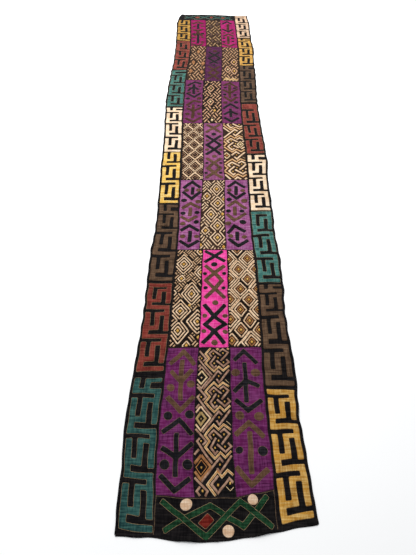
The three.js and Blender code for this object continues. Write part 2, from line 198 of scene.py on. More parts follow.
@dataclass(frozen=True)
class RaffiaFinish:
    """Dyed raffia: the sRGB colours of its body, of its worn places and of its deep ones."""

    title: str
    body: str
    worn: str
    deep: str

    def dress(self, tree: NodeTree, layers: list[tuple], shade: dict, bump: dict, surface: dict) -> None:
        """Lays colours over the body's, shades them by the marks, raises the marks and joins the output.

        Args:
            tree: The material's node tree.
            layers: For each further colour its hex code and the inputs of its share's range.
            shade: The inputs of the range that scales the colour by the marks, partly their own pattern and
                partly painted shade between them and painted highlight on them.
            bump: The inputs of the bump.
            surface: The shader's inputs, but for its colour and normal.
        """
        colour = linear(self.body)
        for code, inputs in layers:
            share = add_node(tree, "MapRange", inputs).outputs[0]
            mixed = add_node(tree, "Mix", {"Factor": share, "A": colour, "B": linear(code)}, data_type="RGBA")
            colour = mixed.outputs["Result"]
        # Painted shade and highlight over the marks' own pattern: the colour is scaled below 1 between the
        # marks and above 1 on them.
        light = add_node(tree, "MapRange", shade).outputs[0]
        shaded = add_node(tree, "VectorMath", {0: colour, "Scale": light}, operation="SCALE")
        raised = add_node(tree, "Bump", bump)
        own = {"Base Color": shaded.outputs[0], "Normal": raised.outputs[0]}
        shader = add_node(tree, "BsdfPrincipled", {**own, **surface})
        add_node(tree, "OutputMaterial", {"Surface": shader.outputs[0]})


@dataclass(frozen=True)
class WovenRaffia(RaffiaFinish):
    """Plain-woven raffia cloth, dyed in the piece.

    The strands are flat strips of leaf, so the eye sees fine crosswise ribs, paler slubs where a strand
    took less dye, and cloudy patches of stronger and weaker colour. It is matt, with no gloss to speak of.
    The real strands are about 1.1 mm wide. The ribs are drawn four times as coarse, to show in the render.
    """

    rib_mm: float = 4.4
    # The strands that run along the cloth are a little wider than the ribs.
    strand_share: float = 0.85
    sheen: float = 0.02
    roughness: float = 0.85
    bump: float = 0.6
    patches: float = 0.75
    gloss: float = 0.04

    def material(self) -> Material:
        """Builds the woven material."""
        material, tree = start_material(f"raffia_woven_{self.title}")
        place = add_node(tree, "TexCoord").outputs["Object"]
        clouds = add_node(tree, "TexNoise", {"Vector": place, "Scale": 17.0, "Detail": 4.0}).outputs[0]
        # Slubs are long across the cloth, and the warp's streaks are long along it.
        streaks = []
        for stretch, detail in (((17.0, 165.0, 60.0), 3.0), ((190.0, 20.0, 60.0), 2.0)):
            stretched = add_node(tree, "Mapping", {"Vector": place, "Scale": stretch}).outputs[0]
            noise = add_node(tree, "TexNoise", {"Vector": stretched, "Scale": 1.0, "Detail": detail})
            streaks.append(noise.outputs[0])
        slubs, warps = streaks
        scale = WAVE_PERIOD / (self.rib_mm / 1000)
        wave = {"Vector": place, "Distortion": 2.2, "Detail": 1.0, "Detail Scale": 0.08}
        ribs = add_node(tree, "TexWave", {**wave, "Scale": scale}, bands_direction="Y").outputs[1]
        wider = {**wave, "Scale": scale * self.strand_share}
        strands = add_node(tree, "TexWave", wider, bands_direction="X").outputs[1]
        streaked = add_node(tree, "Math", {0: warps, 1: 0.6, 2: slubs}, operation="MULTIPLY_ADD").outputs[0]
        weave = add_node(tree, "Math", {0: ribs, 1: strands}, operation="MULTIPLY").outputs[0]
        height = add_node(tree, "Math", {0: weave, 1: slubs}, operation="ADD").outputs[0]
        self.dress(
            tree,
            [
                (self.deep, {"Value": clouds, "From Min": 0.38, "From Max": 0.62, "To Max": self.patches}),
                (self.worn, {"Value": streaked, "From Min": 0.7, "From Max": 1.12, "To Max": 0.8}),
            ],
            # The weave: painted shade between the ribs and strands, painted highlight on them.
            {"Value": weave, "From Max": 0.6, "To Min": 0.7, "To Max": 1.14},
            {"Strength": self.bump, "Distance": 0.0016, "Height": height},
            {
                "Roughness": self.roughness,
                "Specular IOR Level": self.gloss,
                "Sheen Weight": self.sheen,
                "Sheen Roughness": 0.55,
            },
        )
        return material


@dataclass(frozen=True)
class RaffiaThread(RaffiaFinish):
    """Raffia embroidery thread, laid in close stitches side by side.

    The eye sees a raised, slightly glossy line with short slanting stitch marks along it.
    The real stitches are about 1 mm apart. They are drawn at 2 mm, to show in the render.
    """

    stitch_mm: float = 2.0
    roughness: float = 0.6
    gloss: float = 0.12

    def material(self) -> Material:
        """Builds the thread material, whose marks follow the line by its own measure along it."""
        material, tree = start_material(f"raffia_thread_{self.title}")
        along = add_node(tree, "UVMap", uv_map="thread").outputs[0]
        place = add_node(tree, "TexCoord").outputs["Object"]
        scale = WAVE_PERIOD / (self.stitch_mm / 1000)
        wave = {"Vector": along, "Scale": scale, "Distortion": 1.2, "Detail": 1.0}
        stitches = add_node(tree, "TexWave", wave, bands_direction="X").outputs[1]
        clouds = add_node(tree, "TexNoise", {"Vector": place, "Scale": 70.0, "Detail": 3.0}).outputs[0]
        speckle = add_node(tree, "TexNoise", {"Vector": place, "Scale": 420.0, "Detail": 2.0}).outputs[0]
        self.dress(
            tree,
            [
                (self.worn, {"Value": clouds, "From Min": 0.35, "From Max": 0.65}),
                (self.deep, {"Value": speckle, "From Min": 0.5, "From Max": 0.72, "To Max": 0.7}),
            ],
            # The stitches: painted shade between them, painted highlight on them.
            {"Value": stitches, "To Min": 0.74, "To Max": 1.16},
            {"Strength": 0.5, "Distance": 0.0006, "Height": stitches},
            {"Roughness": self.roughness, "Specular IOR Level": self.gloss},
        )
        return material


@dataclass(frozen=True)
class MattFloor:
    """A matt painted studio floor. It gives the eye a plain pale ground with the faintest unevenness."""

    title: str = "studio_floor_matt_paint"
    body: str = "fcfcfb"
    shade: str = "f8f8f7"

    def material(self) -> Material:
        """Builds the floor's paint."""
        material, tree = start_material(self.title)
        place = add_node(tree, "TexCoord").outputs["Object"]
        clouds = add_node(tree, "TexNoise", {"Vector": place, "Scale": 2.0}).outputs[0]
        colours = {"Factor": clouds, "A": linear(self.body), "B": linear(self.shade)}
        paint = add_node(tree, "Mix", colours, data_type="RGBA").outputs["Result"]
        surface = {"Base Color": paint, "Roughness": 0.9, "Specular IOR Level": 0.1}
        shader = add_node(tree, "BsdfPrincipled", surface)
        add_node(tree, "OutputMaterial", {"Surface": shader.outputs[0]})
        return material


# Woven grounds and appliqués, and threads: the colours of the body, the worn places and the deep ones.
# The near, middle, far and dusk copies of one dye are partly the dyes' own differences and partly painted
# light: the lighter middle and far copies carry painted sheen of cloth seen at a slant, and the dusk copies
# are darker towards the far end.
WOVEN = {title: WovenRaffia(title, *colours) for title, *colours in (
    ("black", "100e10", "2a2625", "050405"), ("dark_brown_ground", "1a120e", "30231b", "0a0705"),
    ("umber_ground", "33231a", "50392a", "1f140e"), ("purple_near", "641b50", "8e4880", "350b30"),
    ("purple_middle", "96487e", "c890b8", "642858"), ("purple_plum", "86426e", "b8789e", "5a244c"),
    ("purple_far", "6c2656", "984e7c", "421438"), ("purple_dusk", "46183a", "743a66", "260b22"),
    ("pink", "ee3898", "ff80c4", "b41468"), ("magenta", "8a064c", "b42c76", "560430"),
    ("hot_magenta", "980c56", "c83e8c", "640838"), ("teal_near", "234745", "4e7a70", "0f2c2e"),
    ("teal_middle", "356c66", "78aa9c", "1c4442"), ("teal_far", "30625a", "72a396", "183e3c"),
    ("teal_dusk", "1c4240", "3c6a63", "0c2524"), ("red_near", "782e26", "a25648", "4a1814"),
    ("red_far", "7e3028", "ae6254", "521c18"), ("brown_near", "584232", "826850", "36281d"),
    ("brown_far", "563f30", "826a54", "36281c"), ("yellow_near", "c6903a", "ecca82", "8e6022"),
    ("yellow_far", "e8b850", "fff0aa", "b8842e"), ("yellow_dusk", "a8782e", "dab464", "6c4814"),
    ("cream", "f0d4ae", "fff4e2", "c8a27a"), ("cream_dusk", "d6b292", "f2d9c0", "ac8866"),
    ("cream_round", "e0bc9a", "f8e6cc", "b88e6a"), ("green", "12341f", "32603e", "081c10"),
    ("red_diamond", "641812", "923a2e", "3c0d0a"), ("motif_brown", "5c4230", "80604a", "38281c"),
    ("motif_umber", "452c1f", "64442f", "281a11"), ("motif_black", "151417", "343236", "09090b"),
)}
THREADS = {title: RaffiaThread(title, *colours) for title, *colours in (
    ("tan_outline", "86704e", "ac9470", "4c3c2a"), ("motif_outline", "6a5440", "90785c", "382a1e"),
    ("umber_outline", "4a3522", "6c5138", "251a10"), ("seam_thread", "1e1614", "382a26", "0c0909"),
    ("mauve", "8a6450", "b8947c", "4a3024"), ("gold", "be8834", "e0b460", "7a5018"),
    ("cream_thread", "c2a274", "e8cea2", "80623c"), ("beige", "b48d66", "d8b48e", "6a4a30"),
    ("light_beige", "cca680", "f0d2ae", "7e5c40"), ("dusk_beige", "9a7250", "c69c74", "553a26"),
    ("orange", "a8682e", "cc9050", "603616"), ("sienna", "8c5a34", "b07c4c", "50301a"),
    ("brown_thread", "7c5030", "a0724a", "462a18"), ("olive", "927646", "b49864", "50401f"),
    ("fawn", "ae7e5a", "d0a682", "684830"), ("drab", "866440", "a8865e", "4a3620"),
    ("dark_brown", "40281c", "5e4030", "20130d"),
)}


@dataclass
class Paints:
    """Builds each material once and hands it out."""

    made: dict[RaffiaFinish, Material] = field(default_factory=dict)

    def take(self, finish: RaffiaFinish) -> Material:
        """Returns a finish's material, which is built when it is first asked for."""
        if finish not in self.made:
            self.made[finish] = finish.material()
        return self.made[finish]

    def woven(self, title: str) -> Material:
        """Returns the woven raffia of that title."""
        return self.take(WOVEN[title])

    def thread(self, title: str) -> Material:
        """Returns the raffia thread of that title."""
        return self.take(THREADS[title])


@dataclass
class Relief:
    """Height of the cloth's underside above the floor, in millimetres."""

    pucker: float = 0.9
    hem_ripple: float = 1.6
    # How far in from the long edges and from the two ends the waves of the hems reach.
    edge_reach: float = 45
    end_reach: float = 60
    near_end: float = -5
    far_end: float = 4275

    def bumps(self, x: Array, y: Array, rows: list[tuple]) -> Array:
        """Adds up smooth bumps from a table of creases.

        Args:
            x: Places across.
            y: Places along.
            rows: The table, in the columns of CREASES.

        Returns:
            The height at each place.
        """
        height = np.zeros_like(x)
        for across, along, turn, half_length, half_width, rise in rows:
            cos, sin = math.cos(math.radians(turn)), math.sin(math.radians(turn))
            dx, dy = x - across, y - along
            s = np.clip(np.abs((dx * cos + dy * sin) / half_length), 0, 1)
            t = np.clip(np.abs((dy * cos - dx * sin) / half_width), 0, 1)
            height += rise * (1 - s ** 2) ** 2 * (1 - t ** 2) ** 2
        return height

    def ripples(self, x: Array, y: Array) -> Array:
        """Fine puckers of sewn raffia, never below the floor."""
        a = np.sin(x / 13 + 1.7 * np.sin(y / 41) + y / 90)
        b = np.sin(y / 16 + 1.5 * np.sin(x / 33) - x / 70)
        c = np.sin((x + y) / 27 + 1.2 * np.sin((x - y) / 52))
        mask = 0.5 + 0.5 * np.sin(x / 57 + 2.1 * np.sin(y / 130)) * np.sin(y / 83 + 1.0)
        return self.pucker * mask * (0.5 + (a + b + c) / 6)

    def edge_ripple(self, x: Array, y: Array) -> Array:
        """Slow waves that lift the two long edges and the ends a little, never below the floor."""
        reach = near_edge(x, y, self.edge_reach) ** 2
        room = np.minimum(y - self.near_end, self.far_end - y)
        ends = np.clip(1 - room / self.end_reach, 0, 1) ** 2
        wave = 0.5 + 0.5 * np.sin(y / 24 + 1.9 * np.sin(y / 61) + x / 200)
        end_wave = 0.5 + 0.5 * np.sin(x / 21 + 1.4 * np.sin(x / 47))
        return self.hem_ripple * (reach * wave + ends * end_wave)

    def under(self, x: Array, y: Array) -> Array:
        """Height of the underside at each place."""
        x, y = np.asarray(x, float), np.asarray(y, float)
        creases = self.bumps(x, y, CREASES) + self.bumps(x, y, FOLDS)
        return creases + self.ripples(x, y) + self.edge_ripple(x, y)


RELIEF = Relief()
CLOTH_THICKNESS = 1.5
PIECE_GAP = 0.32


def column(name: str, along: Array | float) -> Array:
    """How far across an edge or a border seam stands, by its name in STATION_COLUMNS."""
    return np.interp(along, STATIONS[:, 0], STATIONS[:, STATION_COLUMNS.index(name)])


def near_edge(x: Array, y: Array, reach: float) -> Array:
    """How near each place is to a long edge: 1 on the edge, and 0 from the reach inwards."""
    room = np.minimum(x - column("left_edge", y), column("right_edge", y) - x)
    return np.clip(1 - room / reach, 0, 1)


def bow(near: float, middle: float, far: float, share: float) -> float:
    """A bow through three values at the near end, the middle and the far end."""
    return near + (far - near) * share + 4 * share * (1 - share) * (middle - (near + far) / 2)


@dataclass
class ClothPlan:
    """Where the seams of the cloth run, in the plan's millimetres."""

    row_cells: int = 8
    end_cells: int = 2
    row_lines: list[Array] = field(default_factory=list)
    near_lines: Array | None = None
    far_lines: Array | None = None
    shift: tuple[float, float] = (0.0, 0.0)

    def __post_init__(self) -> None:
        """Works out every seam's points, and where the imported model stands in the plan."""
        self.row_lines = [self.lines_of_row(i) for i in range(len(ROWS))]
        self.near_lines = self.lines_to_end(self.row_lines[0][0], NEAR_HEM)[::-1]
        self.far_lines = self.lines_to_end(self.row_lines[-1][-1], FAR_EDGE)
        corner = self.panel_grid(4, 1).reshape(-1, 2).min(0)
        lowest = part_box("panel_4_middle")[0]
        self.shift = (lowest.x * 1000 - corner[0], lowest.y * 1000 - corner[1])

    def lines_of_row(self, index: int) -> Array:
        """The cross lines of one row of panels, with four seam points on each.

        Args:
            index: The row, counted from 0 at the near end.

        Returns:
            An array of lines by seams by the two plan directions.
        """
        left_at, right_at, *bows = ROWS[index]
        following = ROWS[index + 1] if index + 1 < len(ROWS) else FAR_SEAM
        lines = []
        for step in range(self.row_cells + 1):
            share = step / self.row_cells
            left = left_at + (following[0] - left_at) * share
            right = right_at + (following[1] - right_at) * share
            start, end = float(column("left_seam", left)), float(column("right_seam", right))
            a, b = bow(*bows[:3], share), bow(*bows[3:], share)
            points = [[x, left + (right - left) * (x - start) / (end - start)] for x in (start, a, b, end)]
            if index == 0:
                for point, sag in zip(points[1:3], NEAR_SAG):
                    point[1] += (sag - point[1]) * (1 - share) ** 2
            lines.append(points)
        return np.array(lines)

    def lines_to_end(self, seam: Array, hem: Array) -> Array:
        """The cross lines from a row's seam to the curved hem beyond it."""
        beyond = np.interp(seam[:, 0], hem[:, 0], hem[:, 1])
        shares = np.linspace(0, 1, self.end_cells + 1)
        lines = [seam[:, 1] + (beyond - seam[:, 1]) * share for share in shares]
        return np.array([np.column_stack([seam[:, 0], line]) for line in lines])

    def seam(self, corner: int) -> Array:
        """Every point of one lengthwise seam, from the near hem to the far edge."""
        rows = [lines[1:, corner] for lines in self.row_lines]
        return np.vstack([self.near_lines[:, corner], *rows, self.far_lines[1:, corner]])

    def panel_grid(self, row: int, place: int) -> Array:
        """The two seam lines of a panel, drawn in by half a gap, as lines by two points."""
        lines = self.row_lines[row - 1]
        return draw_in(lines[:, place], lines[:, place + 1])

    def wobble(self, x: Array, y: Array) -> tuple[Array, Array]:
        """How far hand cutting and sewing leave each place of the plan from its straight line.

        Args:
            x: Places across.
            y: Places along.

        Returns:
            The moves across and along, at most about 3 mm.
        """
        edge = near_edge(x, y, 30)
        across = 0.9 * np.sin(y / 14.3 + 1.6 * np.sin(x / 23)) + 0.9 * np.sin(y / 37 + x / 29)
        across = across + 1.1 * edge * np.sin(y / 19 + 2.2 * np.sin(y / 71) + x / 90)
        along = 0.9 * np.sin(x / 15.1 + 1.7 * np.sin(y / 26)) + 0.8 * np.sin(x / 33 - y / 31)
        return across, along

    def to_frame(self, points: Array) -> Array:
        """Turns plan places, with heights above the cloth's underside, into metres in the frame."""
        x, y = points[:, 0], points[:, 1]
        across, along = self.wobble(x, y)
        height = points[:, 2] + RELIEF.under(x, y)
        return np.column_stack([x + across + self.shift[0], y + along + self.shift[1], height]) / 1000


def draw_in(left: Array, right: Array, sides: tuple = (1, 1, 1, 1)) -> Array:
    """Draws two facing edges in by half a gap.

    Args:
        left: The points of the left edge, from near to far.
        right: The points of the right edge, on the same lines.
        sides: 1 or 0 for the left, right, near and far side.

    Returns:
        An array of lines by two points.
    """
    half = PIECE_GAP / 2
    grid = np.stack([left, right], axis=1).astype(float)
    grid[:, 0, 0] += half * sides[0]
    grid[:, 1, 0] -= half * sides[1]
    grid[0, :, 1] += half * sides[2]
    grid[-1, :, 1] -= half * sides[3]
    return grid


PLAN = ClothPlan()


@dataclass
class MeshParts:
    """Collects vertices and faces in plan millimetres, and turns them into one object."""

    name: str
    points: list[Array] = field(default_factory=list)
    faces: list[list[int]] = field(default_factory=list)
    measures: list[Array] = field(default_factory=list)
    count: int = 0

    def add(self, points: Array, faces: list[list[int]], measure: Array | None = None) -> None:
        """Adds one part.

        Args:
            points: Places in plan millimetres, with heights above the cloth's underside.
            faces: Vertex numbers of each face, counted within the part.
            measure: Millimetres along and across the part at each vertex, for a thread.
        """
        self.points.append(points)
        self.faces += [[i + self.count for i in face] for face in faces]
        self.measures.append(np.zeros((len(points), 2)) if measure is None else measure / 1000)
        self.count += len(points)

    def build(self, material: Material, slot: Dye) -> Object:
        """Makes the object, dresses it and lets it ride on the part's only body.

        Args:
            material: The finish.
            slot: Not used.

        Returns:
            The new object, in the scene.
        """
        points = np.vstack(self.points)
        mesh = bpy.data.meshes.new(self.name)
        mesh.from_pydata(PLAN.to_frame(points).tolist(), [], self.faces)
        corners = np.zeros(len(mesh.loops), np.int32)
        mesh.loops.foreach_get("vertex_index", corners)
        layer = mesh.uv_layers.new(name="thread")
        layer.data.foreach_set("uv", np.vstack(self.measures)[corners].astype(np.float32).ravel())
        mesh.polygons.foreach_set("use_smooth", [True] * len(mesh.polygons))
        mesh.materials.append(material)
        mesh.validate()
        piece = bpy.data.objects.new(self.name, mesh)
        bpy.context.scene.collection.objects.link(piece)
        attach(piece, "root")
        LOG.info("built %s with %d faces", self.name, len(mesh.polygons))
        return piece


def lengths(vectors: Array) -> Array:
    """The length of each vector."""
    return np.linalg.norm(vectors, axis=1)


def resample(line: Array, spacing: float, closed: bool = False) -> Array:
    """Puts points at even steps along a line.

    Args:
        line: The line's points.
        spacing: The step's length at most.
        closed: Whether the line returns to its start.

    Returns:
        The new points, without a repeated last point where it is closed.
    """
    if closed:
        line = np.vstack([line, line[:1]])
    run = np.concatenate([[0], np.cumsum(lengths(np.diff(line, axis=0)))])
    steps = max(3, math.ceil(run[-1] / spacing))
    at = np.linspace(0, run[-1], steps + 1)
    points = np.column_stack([np.interp(at, run, line[:, i]) for i in (0, 1)])
    return points[:-1] if closed else points


def divide(line: Array, spacing: float) -> Array:
    """Divides each stretch of a line into short steps and keeps its corners."""
    parts = [line[:1]]
    for a, b in pairwise(line):
        steps = max(1, math.ceil(float(np.linalg.norm(b - a)) / spacing))
        parts.append(a + (b - a) * (np.arange(1, steps + 1) / steps)[:, None])
    return np.vstack(parts)


def rounded(loop: Array, spacing: float, passes: int) -> Array:
    """Rounds a closed outline's corners, as cloth that is turned under.

    Args:
        loop: The outline's points.
        spacing: The step between the new points.
        passes: How many times each point moves towards its neighbours.

    Returns:
        The new outline.
    """
    points = resample(loop, spacing, closed=True)
    for _ in range(passes):
        points = (np.roll(points, 1, 0) + 2 * points + np.roll(points, -1, 0)) / 4
    return points


def segments(loops: list[Array]) -> tuple[Array, Array]:
    """The start and end points of every stretch of some closed outlines."""
    return np.vstack(loops), np.vstack([np.roll(loop, -1, 0) for loop in loops])


# How many points are measured at once, which keeps the arrays small.
BATCH = 400


def distance_inside(points: Array, loops: list[Array]) -> Array:
    """How deep points lie inside closed outlines.

    Args:
        points: Places in the plan.
        loops: The outlines. One inside another is a hole.

    Returns:
        The distance to the nearest outline, below zero outside them.
    """
    a, b = segments(loops)
    way = b - a
    square = np.maximum((way ** 2).sum(1), TINY)
    result = []
    for start in range(0, len(points), BATCH):
        part = points[start:start + BATCH, None, :]
        share = np.clip(((part - a) * way).sum(2) / square, 0, 1)
        far = np.sqrt(((part - a - share[..., None] * way) ** 2).sum(2)).min(1)
        crosses = (a[:, 1] > part[..., 1]) != (b[:, 1] > part[..., 1])
        rise = np.where(np.abs(way[:, 1]) < TINY, TINY, way[:, 1])
        meets = a[:, 0] + (part[..., 1] - a[:, 1]) * way[:, 0] / rise
        inside = (crosses & (part[..., 0] < meets)).sum(1) % 2 == 1
        result.append(np.where(inside, far, -far))
    return np.concatenate(result)


def union_loops(shapes: list[Array]) -> list[Array]:
    """Joins overlapping outlines into one set of outlines.

    Args:
        shapes: Simple closed outlines, which may overlap.

    Returns:
        The joined outlines, with the cloth on their left side, so holes run the other way round.
    """
    corners: list[tuple[float, float]] = []
    faces = []
    for shape in shapes:
        faces.append(list(range(len(corners), len(corners) + len(shape))))
        corners += [tuple(p) for p in shape.tolist()]
    points, _, cells, _, _, origins = geometry.delaunay_2d_cdt(corners, [], faces, 0, 1e-4, True)
    sides: set[tuple[int, int]] = set()
    for cell, origin in zip(cells, origins):
        if origin:
            for a, b in zip(cell, [*cell[1:], cell[0]]):
                if (b, a) in sides:
                    sides.discard((b, a))
                else:
                    sides.add((a, b))
    following: dict[int, list[int]] = {}
    for a, b in sorted(sides):
        following.setdefault(a, []).append(b)
    loops = []
    while following:
        start = next(iter(following))
        loop, at = [], start
        while at in following:
            loop.append(at)
            step = following[at].pop()
            if not following[at]:
                del following[at]
            at = step
        loops.append(np.array([points[i][:] for i in loop]))
    return [loop for loop in loops if len(loop) > 2]


def strip(route: Array, width: float) -> Array:
    """The outline of a strip of even width along a route, with mitred bends."""
    half = side_normals(route) * width / 2
    return np.vstack([route - half, (route + half)[::-1]])


# Bends sharper than this cosine allows are cut short, so that no mitre runs out into a spike.
MITRE_LIMIT = 0.35


def side_normals(line: Array, closed: bool = False) -> Array:
    """Left-hand mitre vectors along a line, each 1 long across the line's own direction."""
    ways = np.diff(np.vstack([line, line[:1]]) if closed else line, axis=0)
    ways = ways / np.maximum(np.linalg.norm(ways, axis=1, keepdims=True), TINY)
    lefts = np.column_stack([-ways[:, 1], ways[:, 0]])
    before = np.roll(lefts, 1, 0) if closed else np.vstack([lefts[:1], lefts])
    after = lefts if closed else np.vstack([lefts, lefts[-1:]])
    mitre = before + after
    mitre = mitre / np.maximum(np.linalg.norm(mitre, axis=1, keepdims=True), TINY)
    return mitre / np.maximum((mitre * after).sum(1, keepdims=True), MITRE_LIMIT)


def disc(across: float, along: float, radius: float, flat: float = 0.95, sides: int = 28) -> Array:
    """The outline of a slightly flattened round patch."""
    angle = np.arange(sides) / sides * 2 * math.pi
    return np.column_stack([across + radius * np.cos(angle), along + flat * radius * np.sin(angle)])


@dataclass
class Ridge:
    """A raised line of thread, with its cross-section given by shares of its width and height."""

    width: float
    height: float
    lift: float = 0.0
    section: tuple[tuple[float, float], ...] = ((-1.0, -0.2), (-0.55, 0.85), (0.55, 0.85), (1.0, -0.2))

    def add(self, parts: MeshParts, line: Array, closed: bool = False) -> None:
        """Lays the line on the cloth.

        Args:
            parts: The piece that it belongs to.
            line: The middle line's points in the plan.
            closed: Whether it returns to its start.
        """
        if len(line) < 2:
            return
        normals = side_normals(line, closed)
        run = np.concatenate([[0], np.cumsum(lengths(np.diff(line, axis=0)))])
        across, up = np.array(self.section).T
        spots = line[:, None] - normals[:, None] * across[:, None] * self.width / 2
        heights = np.broadcast_to(CLOTH_THICKNESS + self.lift + up * self.height, spots.shape[:2])
        points = np.dstack([spots, heights]).reshape(-1, 3)
        measure = np.dstack(np.broadcast_arrays(run[:, None], across * self.width)).reshape(-1, 2)
        width = len(self.section)
        faces = []
        count = len(line)
        for i in range(count if closed else count - 1):
            a, b = i * width, (i + 1) % count * width
            for j in range(width):
                k = (j + 1) % width
                faces.append([a + j, a + k, b + k, b + j])
        if not closed:
            faces.append(list(range(width))[::-1])
            faces.append([(count - 1) * width + j for j in range(width)])
        parts.add(points, faces, measure)


OUTLINE_THREAD = Ridge(width=1.5, height=0.7, section=((-1.0, -0.2), (0.0, 1.0), (1.0, -0.2)))
# How far apart the rows of an even grid of triangles stand, as a share of their side.
TRIANGLE_RISE = 0.87


@dataclass
class Pillow:
    """A flat piece of cloth sewn on, with its edge turned under."""

    lift: float = 1.15
    edge: float = 2.6
    spacing: float = 3.4
    cell: float = 10.0
    corner_passes: int = 1
    # Scraps of an outline that are smaller than this are left out.
    smallest: float = 4
    puff: float = 0.12
    # The piece's rim stands a little above its ground, and its underside a little below.
    rim_rise: float = 0.05
    sink: float = 0.12

    def outline(self, shapes: list[Array]) -> list[Array]:
        """Joins shapes and rounds their corners."""
        loops = shapes if len(shapes) == 1 else union_loops(shapes)
        big = [loop for loop in loops if np.ptp(loop, axis=0).max() > self.smallest]
        return [rounded(loop, self.spacing, self.corner_passes) for loop in big]

    def add(self, parts: MeshParts, loops: list[Array]) -> None:
        """Fills outlines with a pillowed sheet that lies on the cloth.

        Args:
            parts: The piece that it belongs to.
            loops: Rounded outlines, with the cloth on their left.
        """
        rim = np.vstack(loops)
        extra = []
        for inset in (0.3 * self.edge, self.edge):
            ring = np.vstack([loop + side_normals(loop, closed=True) * inset for loop in loops])
            extra.append(ring[distance_inside(ring, loops) > 0.85 * inset])
        low, high = rim.min(0), rim.max(0)
        xs = np.arange(low[0], high[0], self.cell)
        ys = np.arange(low[1], high[1], self.cell * TRIANGLE_RISE)
        spots = [[x + (j % 2) * self.cell / 2, y] for j, y in enumerate(ys) for x in xs]
        grid = np.array(spots).reshape(-1, 2)
        extra.append(grid[distance_inside(grid, loops) > self.edge + 0.35 * self.cell])
        edges, start = [], 0
        for loop in loops:
            count = len(loop)
            edges += [(start + i, start + (i + 1) % count) for i in range(count)]
            start += count
        corners = [tuple(p) for p in np.vstack([rim, *extra]).tolist()]
        found, _, cells, *_ = geometry.delaunay_2d_cdt(corners, edges, [], 0, 1e-5, False)
        flat = np.array([p[:] for p in found])
        cells = np.array([c for c in cells if len(c) == 3])
        cells = cells[distance_inside(flat[cells].mean(1), loops) > 0.01]
        depth = np.maximum(distance_inside(flat, loops), 0)
        depth[depth < 0.02] = 0
        crown = np.sqrt(1 - (1 - np.clip(depth / self.edge, 0, 1)) ** 2)
        base = np.full(len(flat), CLOTH_THICKNESS)
        puff = self.puff * np.sin(flat[:, 0] / 5.3 + 1.3 * np.sin(flat[:, 1] / 9)) * crown
        top = np.column_stack([flat, base + self.rim_rise + self.lift * crown + puff])
        bottom = np.column_stack([flat, base - self.sink])
        count = len(flat)
        faces = cells.tolist() + (cells[:, ::-1] + count).tolist()
        sides = {(a, b) for c in cells.tolist() for a, b in zip(c, [*c[1:], c[0]])}
        faces += [[b, a, a + count, b + count] for a, b in sides if (b, a) not in sides]
        parts.add(np.vstack([top, bottom]), faces)


@dataclass
class GroundSheet:
    """One woven panel of the ground, as a closed sheet with soft edges."""

    node: str
    grid: Array
    cell: float = 9.0
    lip: float = 2.2
    edge_fall: float = 0.55

    def fine_grid(self) -> Array:
        """Divides the panel's own lines into small cells, across and along."""
        lines = [self.grid[0]]
        for a, b in pairwise(self.grid):
            steps = max(1, math.ceil(float(np.abs(b - a)[..., 1].max()) / self.cell))
            lines += [a + (b - a) * (i + 1) / steps for i in range(steps)]
        total = np.array(lines)
        lip_near = total[0] + (total[1] - total[0]) * min(0.5, self.lip / self.cell)
        lip_far = total[-1] + (total[-2] - total[-1]) * min(0.5, self.lip / self.cell)
        total = np.concatenate([total[:1], lip_near[None], total[1:-1], lip_far[None], total[-1:]])
        spans = []
        count = total.shape[1] - 1
        for i in range(count):
            length = float(np.abs(total[:, i + 1, 0] - total[:, i, 0]).mean())
            steps = max(1, math.ceil(length / self.cell))
            shares = np.arange(steps + 1) / steps
            if i == 0:
                shares = np.insert(shares, 1, min(0.3 / steps, self.lip / length))
            if i == count - 1:
                shares = np.insert(shares, -1, 1 - min(0.3 / steps, self.lip / length))
            span = total[:, i, None] + (total[:, i + 1] - total[:, i])[:, None] * shares[None, :, None]
            spans.append(span if i == 0 else span[:, 1:])
        return np.concatenate(spans, axis=1)

    def build(self, material: Material, slot: Dye) -> Object:
        """Makes the sheet, which stands for the solid of the same name.

        Args:
            material: The panel's woven finish.
            slot: Not used.

        Returns:
            The new object.
        """
        fine = self.fine_grid()
        rows, columns = fine.shape[:2]
        flat = fine.reshape(-1, 2)
        fall = np.zeros((rows, columns))
        fall[[0, -1]] = self.edge_fall
        fall[:, [0, -1]] = self.edge_fall
        top = np.column_stack([flat, CLOTH_THICKNESS - fall.ravel()])
        bottom = np.column_stack([flat, np.zeros(len(flat))])
        count = rows * columns
        faces = []
        for i in range(rows - 1):
            for j in range(columns - 1):
                a = i * columns + j
                b, c, d = a + 1, a + columns + 1, a + columns
                faces.append([a, b, c, d])
                faces.append([count + d, count + c, count + b, count + a])
        rim = [*range(columns), *[i * columns + columns - 1 for i in range(1, rows)]]
        rim += [(rows - 1) * columns + j for j in range(columns - 2, -1, -1)]
        rim += [i * columns for i in range(rows - 2, 0, -1)]
        for a, b in zip(rim, [*rim[1:], rim[0]]):
            faces.append([b, a, a + count, b + count])
        parts = MeshParts(f"cloth_{self.node}")
        parts.add(np.vstack([top, bottom]), faces)
        piece = parts.build(material, slot)
        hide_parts(self.node)
        return piece

    def declare(self, piece: Object, sewn_on: list[Object]) -> None:
        """Is handed the piece and what is sewn on it, and does nothing with them."""


